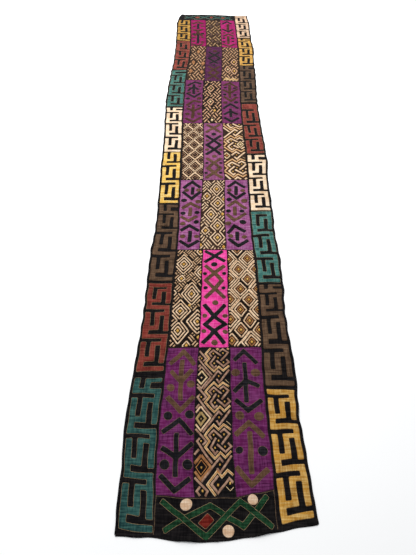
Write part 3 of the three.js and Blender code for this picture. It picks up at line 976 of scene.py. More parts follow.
@dataclass
class Applique:
    """Dyed raffia cut out and sewn on, with a light thread couched round it."""

    name: str
    finish: str
    slot: Dye
    node: str | None = None
    has_outline: bool = True
    thread: str = "tan_outline"
    pillow: Pillow = field(default_factory=Pillow)

    def build(self, paints: Paints, shapes: list[Array]) -> list[Object]:
        """Makes the cloth piece and its outline thread.

        Args:
            paints: The materials.
            shapes: Outlines in the plan, which may overlap.

        Returns:
            The new objects.
        """
        loops = self.pillow.outline(shapes)
        parts = MeshParts(self.name)
        self.pillow.add(parts, loops)
        pieces = [parts.build(paints.woven(self.finish), self.slot)]
        if self.node:
            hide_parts(self.node)
        if self.has_outline:
            thread = MeshParts(f"{self.name}_outline")
            for loop in loops:
                OUTLINE_THREAD.add(thread, loop - side_normals(loop, closed=True) * 0.5, closed=True)
            pieces.append(thread.build(paints.thread(self.thread), Dye.TAN))
        return pieces


@dataclass
class MeanderBlock:
    """One colour block of a border, with the middle of each of its bars across."""

    finish: str
    slot: Dye
    bars: tuple[float, ...]
    far: float
    end: FigureEnd
    near_tilt: float
    far_tilt: float


# The blocks' near, middle, far and dusk finishes are lit and shaded copies of one dye: painted sheen and
# darkening as well as the dyes' own colours.
LEFT_BLOCKS = [MeanderBlock(*row) for row in (
    ("teal_near", Dye.TEAL, (39, 194, 344, 499), 554, FigureEnd.STUB, -12, 0),
    ("red_near", Dye.RED, (594, 744, 894, 1019), 1029, FigureEnd.JOINED, 4, 0),
    ("brown_near", Dye.BROWN, (1057, 1220, 1379, 1516), 1579, FigureEnd.STUB, 0, 0),
    ("yellow_far", Dye.YELLOW, (1603, 1779, 1944), 2060, FigureEnd.OPEN, 4, 8),
    ("cream", Dye.CREAM, (2079, 2244, 2404, 2544), 2590, FigureEnd.STUB, 0, 4),
    ("teal_far", Dye.TEAL, (2619, 2774, 2929, 3084), 3144, FigureEnd.CAP, 0, 4),
    ("red_far", Dye.RED, (3169, 3349, 3504, 3659), 3674, FigureEnd.CLOSED, 0, 0),
    ("yellow_dusk", Dye.YELLOW, (3702, 3854, 4009), 4132, FigureEnd.OPEN, -12, 0),
)]
RIGHT_BLOCKS = [MeanderBlock(*row) for row in (
    ("yellow_near", Dye.YELLOW, (70, 219, 364, 497), 508, FigureEnd.CLOSED, 18, -4),
    ("brown_near", Dye.BROWN, (535, 699, 864, 989), 1026, FigureEnd.STUB, 0, 4),
    ("teal_middle", Dye.TEAL, (1050, 1204, 1359, 1514), 1525, FigureEnd.JOINED, -2, 4),
    ("cream", Dye.CREAM, (1545, 1684, 1829, 1979), 2038, FigureEnd.STUB, 2, 2),
    ("red_far", Dye.RED, (2066, 2224, 2386, 2582), 2640, FigureEnd.CLOSED, 4, 0),
    ("brown_far", Dye.BROWN, (2676, 2834, 2989, 3154), 3217, FigureEnd.STUB, 4, 0),
    ("yellow_near", Dye.YELLOW, (3241, 3404, 3549, 3684), 3728, FigureEnd.STUB, 0, 0),
    ("cream_dusk", Dye.CREAM, (3761, 3909, 4059, 4208), 4228, FigureEnd.CLOSED, 0, 0),
)]


@dataclass
class MeanderFigure:
    """The stepped figure of the borders: the part's own sizes, in millimetres and shares."""

    margin: float = 9.5
    bar_half: float = 10
    slit: float = 0.5
    stub_drop: float = 2
    arm_share: float = 0.4
    left_inner: float = 0.21
    middle_left: float = 0.4
    middle_right: float = 0.6
    right_inner: float = 0.8
    upper_slot: float = 0.18
    arm_bottom: float = 0.29
    foot_top: float = 0.65
    foot_bottom: float = 0.785
    right_end: float = 0.83

    def right_side(self, far: float, near: float) -> Route:
        """Steps down the right side of one unit, from a bar across to the next nearer one."""
        shares = (self.right_end, self.arm_bottom, self.foot_bottom)
        end, arm, foot = (far - share * (far - near) for share in shares)
        bar = near + self.bar_half
        return [
            (1, end), (self.right_inner, end), (self.right_inner, arm), (self.middle_right, arm),
            (self.middle_right, foot), (self.left_inner, foot), (self.left_inner, bar), (1, bar),
        ]

    def left_side(self, far: float, near: float, is_joined: bool) -> Route:
        """Steps up the left side of one unit, whose left bar ends free or just short of the bar across."""
        slot, foot = (far - share * (far - near) for share in (self.upper_slot, self.foot_top))
        bottom = far - self.bar_half
        top = bottom - self.slit if is_joined else slot
        return [
            (0, top), (self.left_inner, top), (self.left_inner, foot), (self.middle_left, foot),
            (self.middle_left, slot), (self.right_inner, slot), (self.right_inner, bottom), (0, bottom),
        ]

    def far_end(self, block: MeanderBlock, far_bar: float) -> Route:
        """The far end of a figure, from its left side to its right side."""
        bar_top, stub_top = far_bar + self.bar_half, block.far - self.stub_drop
        arm = stub_top + (bar_top - stub_top) * self.arm_share
        if block.end is FigureEnd.STUB:
            return [
                (0, block.far), (self.left_inner, block.far), (self.left_inner, bar_top),
                (self.middle_left, bar_top), (self.middle_left, stub_top), (1, stub_top),
                (1, arm), (self.middle_right, arm), (self.middle_right, bar_top), (1, bar_top),
            ]
        if block.end is FigureEnd.OPEN:
            return []
        top = [(0, block.far), (1, block.far)]
        if block.end is FigureEnd.CAP:
            return [*top, (1, arm), (self.left_inner, arm), (self.left_inner, bar_top), (1, bar_top)]
        return top

    def steps(self, block: MeanderBlock) -> Route:
        """A figure's outline, as shares across and millimetres along."""
        bars = list(block.bars)[::-1]
        foot = bars[-1] - self.bar_half
        is_open = block.end is FigureEnd.OPEN
        if is_open:
            bars.insert(0, bars[0] + (block.far - bars[0]) / (1 - self.upper_slot))
        steps = [(1, foot), (0, foot)]
        for i in range(len(bars) - 2, -1, -1):
            side = self.left_side(bars[i], bars[i + 1], i == 0 and block.end is FigureEnd.JOINED)
            steps += [*side[:5], (1, block.far)] if i == 0 and is_open else side
        steps += self.far_end(block, bars[0])
        for i in range(len(bars) - 1):
            steps += self.right_side(bars[i], bars[i + 1])
        return steps

    def outline(self, block: MeanderBlock, left_line: str, right_line: str) -> Array:
        """Places a figure on its border, with the cloth on the outline's left."""
        near, points = block.bars[0], []
        for share, along in self.steps(block):
            tilt = block.near_tilt + (block.far_tilt - block.near_tilt) * (along - near) / (block.far - near)
            y = along + tilt * (share - 0.5)
            left = float(column(left_line, y)) + self.margin
            right = float(column(right_line, y)) - self.margin
            points.append((left + (right - left) * share, y))
        return np.array(points)[::-1]


@dataclass
class Border:
    """One long border: a black panel for each colour block, with its figure sewn on."""

    side: str
    blocks: list[MeanderBlock]
    figure: MeanderFigure = field(default_factory=MeanderFigure)

    @property
    def is_left(self) -> bool:
        """Whether it is the left border."""
        return self.side == "left"

    def seam(self) -> Array:
        """The seam between the border and the middle."""
        return PLAN.seam(0 if self.is_left else 3)

    def spans(self) -> list[tuple[float, float]]:
        """Where each black panel starts and ends along the cloth."""
        inner = self.seam()
        last = FAR_SEAM[0] if self.is_left else inner[-1, 1]
        cuts = [inner[0, 1]]
        for block, following in pairwise(self.blocks):
            cuts.append((block.far + following.bars[0] - self.figure.bar_half) / 2)
        cuts.append(last)
        return list(pairwise(cuts))

    def grid(self, index: int, start: float, end: float) -> Array:
        """The panel's lines between its outer edge and the border seam."""
        inner = self.seam()
        within = inner[(inner[:, 1] > start + 1) & (inner[:, 1] < end - 1), 1]
        places = np.array([start, *within, end])
        seam = np.column_stack([np.interp(places, inner[:, 1], inner[:, 0]), places])
        outer = np.column_stack([column(f"{self.side}_edge", places), places])
        if index == 0:
            outer[0, 1] = np.interp(outer[0, 0], NEAR_HEM[:, 0], NEAR_HEM[:, 1])
        if self.is_left:
            return draw_in(outer, seam, (0, 1, 1, 1))
        return draw_in(seam, outer, (1, 0, 1, 1))

    def build(self, paints: Paints) -> None:
        """Makes the border's panels and figures."""
        lines = ("left_edge", "left_seam") if self.is_left else ("right_seam", "right_edge")
        for i, (block, span) in enumerate(zip(self.blocks, self.spans())):
            sheet = GroundSheet(f"border_{self.side}_{i + 1}", self.grid(i, *span))
            ground = sheet.build(paints.woven("black"), Dye.BLACK)
            node = f"meander_{self.side}_{i + 1}"
            thread = "tan_outline" if block.slot in (Dye.TEAL, Dye.RED) else "umber_outline"
            sewn = Applique(f"applique_{node}", block.finish, block.slot, node, thread=thread)
            outline = self.figure.outline(block, *lines)
            sheet.declare(ground, sewn.build(paints, [outline]))


@dataclass(frozen=True)
class Motif:
    """One stroke or round patch of a panel: its dye, its width or a dot's radius, and its route."""

    dye: str
    size: float
    route: tuple[Spot, ...]

    def shape(self, extra: float) -> Array:
        """The motif's outline, with its stroke so much wider, or its radius half as much."""
        route = np.array(self.route, float) - [0, CAMERA_FOOT]
        if len(route) == 1:
            return disc(*route[0], self.size + extra / 2)
        return strip(route, self.size + extra)


BLACK, BROWN = "motif_black", "motif_brown"
STROKE = 16.0
CROSS_STROKE = 17.0
# How much wider the motifs are cut in each row.
FAR_EXTRA = {1: 0.5, 2: 1.0, 3: 2.5, 4: 3.0, 5: 3.0, 6: 2.0, 7: 5.0}


def peak(dye: str, apex: tuple, left: tuple, right: tuple) -> list[Motif]:
    """An angle of two arms that meet at an apex, pointing either way."""
    return [Motif(dye, STROKE, (left, apex, right))]


def bar(dye: str, start: tuple, end: tuple) -> list[Motif]:
    """A straight bar."""
    return [Motif(dye, STROKE, (start, end))]


def dots(dye: str, *rows: tuple[float, float, float]) -> list[Motif]:
    """Round patches, each with its place and radius."""
    return [Motif(dye, radius, ((x, y),)) for x, y, radius in rows]


def tree(dye: str, bottom: tuple, top: tuple, fork: tuple, left: tuple, right: tuple) -> list[Motif]:
    """A stem with two arms that meet it at a fork."""
    return bar(dye, bottom, top) + peak(dye, fork, left, right)


def cross(dye: str, a: tuple, b: tuple, c: tuple, d: tuple) -> list[Motif]:
    """Two bars that cross: from a to b, and from c to d."""
    return bar(dye, a, b) + bar(dye, c, d)


def double_cross(dye: str, *rows: tuple[float, float, float]) -> list[Motif]:
    """Two zigzags that cross at two junctions and part round a diamond between them.

    Args:
        dye: The finish's title.
        rows: Five rows of along, left and right: arms, junction, diamond, junction, legs.

    Returns:
        The two strokes.
    """
    sides = ((1, 2), (2, 1))
    routes = [tuple((row[a if i % 4 == 0 else b], row[0]) for i, row in enumerate(rows)) for a, b in sides]
    return [Motif(dye, CROSS_STROKE, route) for route in routes]


MOTIFS = {
    "panel_1_left": [
        *peak(BROWN, (-105, 838), (-157, 780), (-58, 778)),
        *tree(BROWN, (-110, 628), (-110, 800), (-110, 705), (-152, 748), (-68, 757)),
        *dots(BROWN, (-150, 680, 15), (-70, 695, 15)),
        *peak(BROWN, (-110, 588), (-162, 642), (-58, 642)),
        *dots(BLACK, (-153, 567, 16), (-73, 573, 16)),
        *peak(BLACK, (-110, 552), (-170, 505), (-60, 498)),
        *tree(BLACK, (-116, 355), (-116, 505), (-115, 418), (-170, 453), (-58, 467)),
        *dots(BLACK, (-155, 395, 17), (-73, 395, 17)),
        *peak(BLACK, (-115, 314), (-167, 360), (-63, 352)),
    ],
    "panel_1_right": [
        *peak(BLACK, (145, 842), (103, 798), (196, 787)),
        *tree(BLACK, (145, 620), (145, 788), (145, 712), (98, 663), (198, 684)),
        *dots(BROWN, (106, 745, 16), (188, 745, 18)),
        *peak(BLACK, (150, 590), (103, 632), (203, 632)),
        *dots(BROWN, (115, 570, 16), (190, 568, 17)),
        *peak(BROWN, (148, 545), (98, 498), (203, 490)),
        *bar(BROWN, (150, 368), (150, 512)),
        *dots(BLACK, (111, 445, 13), (192, 443, 17)),
        *peak(BROWN, (148, 333), (96, 387), (208, 382)),
    ],
    "panel_2_middle": [
        *cross(BLACK, (-22, 1402), (77, 1333), (68, 1402), (-22, 1328)),
        *dots(BLACK, (24, 1313, 14)),
        *double_cross(
            BROWN, (1307, -20, 74), (1260, 25, 25), (1215, -17, 61), (1165, 25, 25), (1113, -20, 72),
        ),
        *dots(BLACK, (-20, 1255, 9), (70, 1258, 9), (-18, 1172, 9), (66, 1170, 9)),
        *dots(BROWN, (27, 1086, 13)),
        *double_cross(
            BLACK, (1077, -22, 71), (1014, 23, 23), (972, -17, 70), (934, 22, 22), (877, -27, 65),
        ),
        *dots(BROWN, (-20, 1016, 10), (70, 1016, 10), (-24, 937, 10), (70, 933, 10), (22, 880, 12)),
    ],
    "panel_3_left": [
        *peak(BLACK, (-100, 1942), (-150, 1884), (-53, 1888)),
        *bar(BLACK, (-96, 1828), (-96, 1895)),
        *dots(BROWN, (-130, 1868, 12), (-63, 1868, 12)),
        *peak(BLACK, (-100, 1794), (-152, 1856), (-50, 1856)),
        *dots(BLACK, (-143, 1780, 14)),
        *dots(BROWN, (-63, 1770, 14)),
        *peak(BROWN, (-105, 1757), (-150, 1713), (-53, 1718)),
        *bar(BROWN, (-105, 1655), (-105, 1722)),
        *dots(BLACK, (-142, 1677, 12), (-68, 1683, 12)),
        *peak(BROWN, (-112, 1618), (-154, 1652), (-66, 1652)),
        *dots(BLACK, (-70, 1608, 13)),
        *dots(BROWN, (-142, 1595, 13)),
        *peak(BLACK, (-105, 1582), (-152, 1543), (-56, 1543)),
        *bar(BLACK, (-102, 1465), (-102, 1542)),
        *dots(BROWN, (-138, 1503, 12), (-66, 1503, 12)),
        *peak(BLACK, (-106, 1434), (-152, 1472), (-56, 1472)),
    ],
    "panel_3_right": [
        *peak(BLACK, (150, 1942), (103, 1898), (202, 1892)),
        *bar(BLACK, (150, 1828), (150, 1905)),
        *dots(BROWN, (113, 1870, 12), (187, 1865, 12)),
        *peak(BLACK, (150, 1798), (103, 1852), (202, 1847)),
        *dots(BLACK, (110, 1788, 14)),
        *dots(BROWN, (192, 1780, 16)),
        *peak(BROWN, (145, 1772), (98, 1733), (202, 1713)),
        *bar(BROWN, (137, 1660), (137, 1730)),
        *dots(BLACK, (103, 1695, 12), (175, 1695, 12)),
        *peak(BROWN, (132, 1619), (94, 1672), (197, 1676)),
        *dots(BROWN, (100, 1598, 15)),
        *dots(BLACK, (175, 1607, 16)),
        *peak(BLACK, (132, 1577), (94, 1524), (188, 1538)),
        *bar(BLACK, (144, 1474), (144, 1538)),
        *dots(BROWN, (110, 1507, 12), (180, 1500, 12)),
        *peak(BLACK, (145, 1436), (98, 1486), (199, 1476)),
    ],
    "panel_4_middle": [
        *cross(BROWN, (-22, 2545), (72, 2450), (68, 2545), (-26, 2450)),
        *dots(BLACK, (26, 2430, 14)),
        *double_cross(
            BLACK, (2415, -24, 72), (2360, 27, 27), (2310, -18, 68), (2260, 27, 27), (2207, -22, 69),
        ),
        *dots(BROWN, (-17, 2360, 9), (68, 2360, 9), (-17, 2260, 11), (67, 2258, 11), (30, 2190, 12)),
        *double_cross(
            BROWN, (2171, -20, 70), (2120, 27, 27), (2070, -12, 63), (2028, 26, 26), (1980, -20, 72),
        ),
        *dots(BLACK, (-17, 2120, 9), (69, 2120, 9), (-21, 2025, 9), (65, 2028, 9)),
    ],
    "panel_5_left": [
        *peak(BLACK, (-115, 3124), (-167, 3068), (-66, 3096)),
        *tree(BLACK, (-120, 2944), (-120, 3090), (-120, 3052), (-167, 2993), (-83, 3008)),
        *dots(BROWN, (-152, 3038, 9), (-77, 3060, 9), (-88, 2985, 9), (-152, 2968, 10)),
        *peak(BLACK, (-115, 2904), (-172, 2957), (-68, 2957)),
        *dots(BLACK, (-160, 2880, 14)),
        *dots(BROWN, (-80, 2886, 15)),
        *peak(BROWN, (-115, 2852), (-167, 2788), (-62, 2828)),
        *tree(BROWN, (-118, 2620), (-118, 2800), (-118, 2710), (-162, 2752), (-62, 2757)),
        *dots(BLACK, (-147, 2775, 8), (-80, 2783, 8)),
        *dots(BROWN, (-155, 2675, 13), (-75, 2675, 13)),
        *peak(BROWN, (-115, 2578), (-167, 2622), (-63, 2627)),
    ],
    "panel_5_right": [
        *peak(BROWN, (150, 3112), (98, 3073), (202, 3043)),
        *tree(BROWN, (145, 2895), (145, 3080), (145, 2960), (92, 3012), (203, 3017)),
        *dots(BLACK, (114, 3042, 10), (180, 3032, 10), (108, 2938, 12), (182, 2935, 12)),
        *peak(BROWN, (150, 2848), (98, 2912), (198, 2907)),
        *dots(BROWN, (108, 2827, 14)),
        *dots(BLACK, (187, 2828, 15)),
        *peak(BLACK, (145, 2807), (93, 2743), (198, 2748)),
        *tree(BLACK, (145, 2635), (145, 2745), (145, 2712), (95, 2668), (194, 2668)),
        *peak(BLACK, (145, 2578), (98, 2632), (199, 2627)),
    ],
    "panel_6_middle": [
        *dots(BROWN, (0, 3690, 10), (40, 3652, 17)),
        *double_cross(
            BLACK, (3632, -12, 74), (3578, 37, 37), (3520, -14, 84), (3462, 34, 34), (3428, -8, 64),
        ),
        *dots(BLACK, (30, 3400, 12)),
        *double_cross(
            BROWN, (3380, -12, 74), (3322, 30, 30), (3272, -12, 66), (3224, 27, 27), (3168, -22, 68),
        ),
    ],
    "panel_7_left": [
        *peak(BROWN, (-112, 4262), (-160, 4215), (-66, 4215)),
        *bar(BLACK, (-110, 4092), (-110, 4222)),
        *peak(BROWN, (-110, 4042), (-160, 4085), (-64, 4092)),
        *dots(BROWN, (-147, 4160, 11), (-72, 4160, 11)),
        *dots(BLACK, (-145, 3992, 14), (-68, 3998, 14)),
        *peak(BROWN, (-108, 4022), (-140, 3950), (-72, 3952)),
        *bar(BLACK, (-106, 3800), (-106, 3985)),
        *dots(BROWN, (-145, 3918, 12), (-66, 3928, 12), (-142, 3845, 12), (-68, 3830, 12)),
        *peak(BROWN, (-108, 3752), (-156, 3796), (-62, 3796)),
    ],
    "panel_7_right": [
        *peak(BLACK, (155, 4266), (107, 4208), (194, 4213)),
        *bar(BROWN, (160, 4070), (160, 4212)),
        *peak(BLACK, (160, 4043), (107, 4102), (204, 4092)),
        *dots(BROWN, (124, 4020, 12), (200, 4015, 12)),
        *peak(BROWN, (160, 3992), (112, 3946), (206, 3946)),
        *bar(BROWN, (158, 3790), (158, 3948)),
        *dots(BLACK, (196, 3905, 13), (196, 3838, 10), (118, 3830, 13), (120, 3905, 12)),
        *peak(BROWN, (160, 3743), (107, 3782), (206, 3782)),
    ],
}


@dataclass
class Panel:
    """One panel of the middle, by its row from the near end and its place from the left."""

    row: int
    place: int

    @property
    def node(self) -> str:
        """The solid that the panel stands for."""
        return f"panel_{self.row}_{('left', 'middle', 'right')[self.place]}"

    def sheet(self) -> GroundSheet:
        """The panel's own ground."""
        return GroundSheet(self.node, PLAN.panel_grid(self.row, self.place))


@dataclass
class MotifPanel(Panel):
    """A dyed panel with strokes and round patches sewn on it."""

    finish: str
    slot: Dye

    def build(self, paints: Paints) -> None:
        """Makes the panel and its motifs, one piece for each dye."""
        sheet = self.sheet()
        ground = sheet.build(paints.woven(self.finish), self.slot)
        thread = "motif_outline" if self.row < 3 else "umber_outline"
        pillow = Pillow(lift=0.95, edge=2.2, cell=9.0)
        sewn = []
        for dye, slot in ((BLACK, Dye.BLACK), (BROWN, Dye.BROWN)):
            shapes = [motif.shape(FAR_EXTRA[self.row]) for motif in MOTIFS[self.node] if motif.dye == dye]
            title = f"motifs_{self.node}_{dye.split('_')[1]}"
            finish = "motif_umber" if dye == BROWN and self.row > 4 else dye
            sewn += Applique(title, finish, slot, thread=thread, pillow=pillow).build(paints, shapes)
        sheet.declare(ground, sewn)


@dataclass(frozen=True)
class Nest:
    """A nest of diamond-shaped rings: its middle, how many rings it has, and the thread of its heart."""

    across: float
    along: float
    rings: int = 3
    heart: str = "gold"


@dataclass(frozen=True)
class Knot:
    """One interlaced knot with the zigzags that frame it: its middle and its scale."""

    across: float
    along: float
    scale: float = 1.0

    def place(self, route: tuple) -> Array:
        """Places a charted route, in the plan's millimetres."""
        return np.array(route, float).reshape(-1, 2) * self.scale + [self.across, self.along]


@dataclass(frozen=True)
class Design:
    """How a panel is worked.

    The pitch is the step from ring to ring across the panel. The real one is 12 to 14 mm on every panel.
    It is drawn a little coarser from the second row, and up to 31 mm in the last, to show in the render.
    """

    pitch: float
    line: float
    threads: tuple[str, ...]
    # The thread of the bands, where it differs from the last of the nests' threads.
    fill: str = ""
    ground: str = "umber_ground"
    heart_half: float = 8.0
    aspect: float = 1.3
    height: float = 0.6
    # The width of the first ring, where it is thinner than the others.
    inner: float = 0.0
    has_bands: bool = True
    nests: tuple[Nest, ...] = ()
    knots: tuple[Knot, ...] = ()
    # The threads of a knot's frame, of the line along the frame, and of its hooks.
    knot_threads: tuple[str, str, str] = ("cream_thread", "orange", "mauve")
    # Lines laid over the rest: thread, width and route.
    strokes: tuple[tuple[str, float, tuple], ...] = ()
    # Places left bare: across, along, half width, half height.
    bare: tuple[tuple[float, float, float, float], ...] = ()

    @property
    def is_lattice(self) -> bool:
        """Whether the nests meet each other, with neither bands nor knots between them."""
        return not (self.has_bands or self.knots)

    def reach(self, nest: Nest) -> float:
        """How far a nest's ground reaches across from its middle."""
        return self.heart_half + (nest.rings + 0.12) * self.pitch


# One repeat of the interlace, charted round the middle of a knot, in millimetres.
KNOT_FRAME = (
    (46, 40), (18, 59), (-1, 40), (-18, 57), (-51, 19), (-35, -1),
    (-50, -22), (-15, -61), (4, -41), (22, -57), (47, -33),
)
KNOT_HOOKS = [
    ((-25, 5), (-35, 19), (-18, 36), (13, 11)),
    ((5.5, 31), (20.5, 43), (40.5, 26), (10.5, -13)),
    ((-7, -12), (23, -39), (45, -18), (33, -6)),
    ((-9, 9.5), (-31, -22), (-15, -45), (-5, -35)),
    ((-59.5, -137), (1.3, -59), (14.7, -72)),
    ((-7, -93), (3, -108), (46, -50)),
]
KNOT_SIDE_HOOKS = [
    ((-87, 45), (-47, -2), (-59.5, -15.5)),
    ((-71, 9), (-80, -3), (-23, -78)),
    ((-92, -57), (-71, -31)),
]
KNOT_THIN = [((28, 72), (47, 54))]
KNOT_HEARTS = [(-18, 19.5), (20.5, 24), (0, 0), (-15, -24), (22, -20.5), (3, -81)]
KNOT_SIDE_HEARTS = [(-66, -2)]


def nests(*rows: tuple) -> tuple[Nest, ...]:
    """Nests of a panel from rows of across, along, rings and, if it differs, the heart's thread."""
    return tuple(Nest(row[0], row[1] - CAMERA_FOOT, *row[2:]) for row in rows)


def lattice(*rows: tuple) -> tuple[Nest, ...]:
    """Nests with dark hearts from rows of along, then the places across."""
    return tuple(Nest(across, row[0] - CAMERA_FOOT, 2, "dark_brown") for row in rows for across in row[1:])


DESIGNS = {
    "panel_1_middle": Design(
        12.0, 7.4, ("beige",), ground="black", height=1.1,
        knots=(Knot(37, 643), Knot(37, 477), Knot(37, 311)),
    ),
    "panel_2_left": Design(
        15.2, 7.0, ("light_beige",), fill="beige", ground="dark_brown_ground", height=0.9,
        nests=nests(
            (-125, 1315, 3), (-130, 1222, 1), (-80, 1135, 3), (-130, 1040, 3), (-134, 937, 3),
            (-52, 985, 3), (-45, 1395, 1), (-40, 1262, 2), (-168, 1140, 1), (-96, 866, 1), (-165, 1415, 0),
            (-46, 906, 0), (-90, 1072, 0),
        ),
    ),
    "panel_2_right": Design(
        13.0, 7.0, ("sienna", "light_beige", "light_beige"), has_bands=False, heart_half=7.0, aspect=1.35,
        ground="dark_brown_ground", height=0.9,
        nests=nests(
            (141, 1283, 2), (144, 1166, 2), (141, 1049, 2), (138, 944, 2),
            (186, 1352, 2), (181, 1224, 2), (181, 1105, 2), (178, 992, 2),
            (224, 1283, 2), (224, 1166, 2), (222, 1049, 2), (218, 944, 2),
            (94, 1226, 2), (95, 1108, 2), (94, 996, 2),
            (138, 1410, 1), (96, 1345, 2), (180, 884, 2), (98, 890, 2),
        ),
    ),
    "panel_3_middle": Design(
        17.6, 7.6, ("light_beige",), heart_half=9.5, aspect=1.5, height=0.8,
        nests=nests(
            (40, 1877, 2), (-15, 1816, 1), (45, 1756, 2), (8, 1665, 2), (72, 1670, 0), (42, 1580, 2),
            (-20, 1545, 1), (42, 1494, 2), (72, 1430, 0), (-45, 1440, 0), (10, 1960, 0), (78, 1790, 0),
        ),
    ),
    "panel_4_left": Design(
        16.0, 6.2, ("fawn", "light_beige"), has_bands=False, height=0.7, inner=4.0,
        ground="dark_brown_ground", heart_half=10.5,
        nests=lattice(
            (2585, -148, -70), (2533, -188, -110, -32), (2479, -146, -67), (2419, -185, -106, -28),
            (2365, -140, -62), (2310, -175, -98, -22), (2255, -134, -58), (2205, -168, -92, -18),
            (2152, -128, -54), (2092, -164, -88, -14), (2032, -124, -50), (1978, -161, -86, -10),
            (1920, -124, -50),
        ),
    ),
    "panel_4_right": Design(
        19.0, 9.0, ("cream_thread", "orange"), has_bands=False, height=0.8,
        heart_half=9.0, aspect=1.6,
        nests=nests((194, 2314, 1, "cream_thread"), (104, 2196, 1, "orange")),
        knots=(Knot(163, 2407, 1.5), Knot(163, 2158, 1.5), Knot(163, 1909, 1.5)),
        knot_threads=("orange", "cream_thread", "light_beige"),
    ),
    "panel_5_middle": Design(
        24.6, 10.6, ("fawn",), ground="dark_brown_ground", heart_half=10.0, aspect=2.0,
        nests=nests(
            (6, 3028, 1, "olive"), (4, 2832, 1, "cream_thread"), (33, 2720, 0), (14, 2600, 0, "cream_thread"),
        ),
        bare=(
            (-50, 3110, 20, 60), (-50, 2905, 16, 40), (-53, 2750, 22, 60), (-50, 3000, 10, 30),
        ),
    ),
    "panel_6_left": Design(
        27.0, 11.6, ("dusk_beige",), heart_half=17.0, aspect=2.3,
        nests=nests(
            (-97, 3640, 0, "sienna"), (-134, 3439, 0, "sienna"), (-56, 3428, 0, "sienna"),
            (-150, 3300, 0, "sienna"), (-65, 3290, 0, "sienna"), (-40, 3600, 0, "brown_thread"),
        ),
        bare=((-163, 3631, 16, 50), (-167, 3504, 16, 50), (-168, 3382, 14, 40), (-176, 3218, 16, 50)),
    ),
    "panel_6_right": Design(
        25.0, 11.0, ("fawn",), fill="dusk_beige", heart_half=9.0, aspect=2.3,
        nests=nests(
            (139, 3328, 1, "cream_thread"), (192, 3453, 1), (190, 3300, 1), (120, 3655, 0, "dark_brown"),
        ),
        strokes=(
            ("cream_thread", 10, ((104, 2999), (212, 2986))), ("gold", 9, ((106, 3010), (208, 2998))),
            ("cream_thread", 9, ((114, 3021), (152, 3018))), ("cream_thread", 9, ((166, 3014), (200, 3010))),
        ),
    ),
    "panel_7_middle": Design(
        31.0, 13.4, ("drab",), heart_half=15.0, aspect=2.3,
        nests=nests(
            (5, 4150, 0, "dark_brown"), (64, 4210, 0, "dark_brown"), (8, 3974, 0, "dark_brown"),
            (62, 3990, 0, "dark_brown"), (20, 3850, 0, "dark_brown"), (66, 3830, 0, "dark_brown"),
        ),
    ),
}


# Lines that only the panel's edge clips, and lines that fill what the nests and knots leave.
FREE, FILL = -1, -2
# How far the filling lines keep from a knot's frame.
KNOT_CLEARANCE = 7


@dataclass
class LaidLine:
    """A line of embroidery before it is clipped to its panel."""

    thread: str
    ridge: Ridge
    points: Array
    corners: Array
    # The nest that it belongs to, or FREE or FILL.
    owner: int

    def runs(self, keep: Array, shortest: float) -> list[Array]:
        """The kept stretches, without the very short ones, with few points on what is straight.

        Args:
            keep: Which of the line's points are kept.
            shortest: The least length of a stretch.

        Returns:
            The stretches' points.
        """
        turns = np.flatnonzero(np.diff(np.concatenate([[0], keep.astype(int), [0]])))
        found = []
        for start, end in zip(turns[::2], turns[1::2]):
            part = self.points[start:end]
            if len(part) > 1 and lengths(np.diff(part, axis=0)).sum() > shortest:
                needed = self.corners[start:end].copy()
                needed[[0, -1]] = True
                found.append(part[needed])
        return found


@dataclass
class Stitching:
    """Lines of embroidery gathered for one panel, which are clipped all at once."""

    lines: list[LaidLine] = field(default_factory=list)
    step: float = 2.5
    keep_every: int = 5

    def lay(self, thread: str, line: Array | list, ridge: Ridge, owner: int = FREE) -> None:
        """Gathers one line.

        Args:
            thread: The thread's title.
            line: The line's corners.
            ridge: Its width and height.
            owner: The nest that it belongs to, or FREE or FILL.
        """
        line = np.array(line, float)
        fine = divide(line, self.step)
        at = np.arange(len(fine)) % self.keep_every == 0
        for corner in line:
            at[np.argmin(np.abs(fine - corner).sum(1))] = True
        self.lines.append(LaidLine(thread, ridge, fine, at, owner))


# A diamond's corners, for a half width and a half height of 1.
DIAMOND = np.array([[0, 1], [-1, 0], [0, -1], [1, 0], [0, 1]], float)


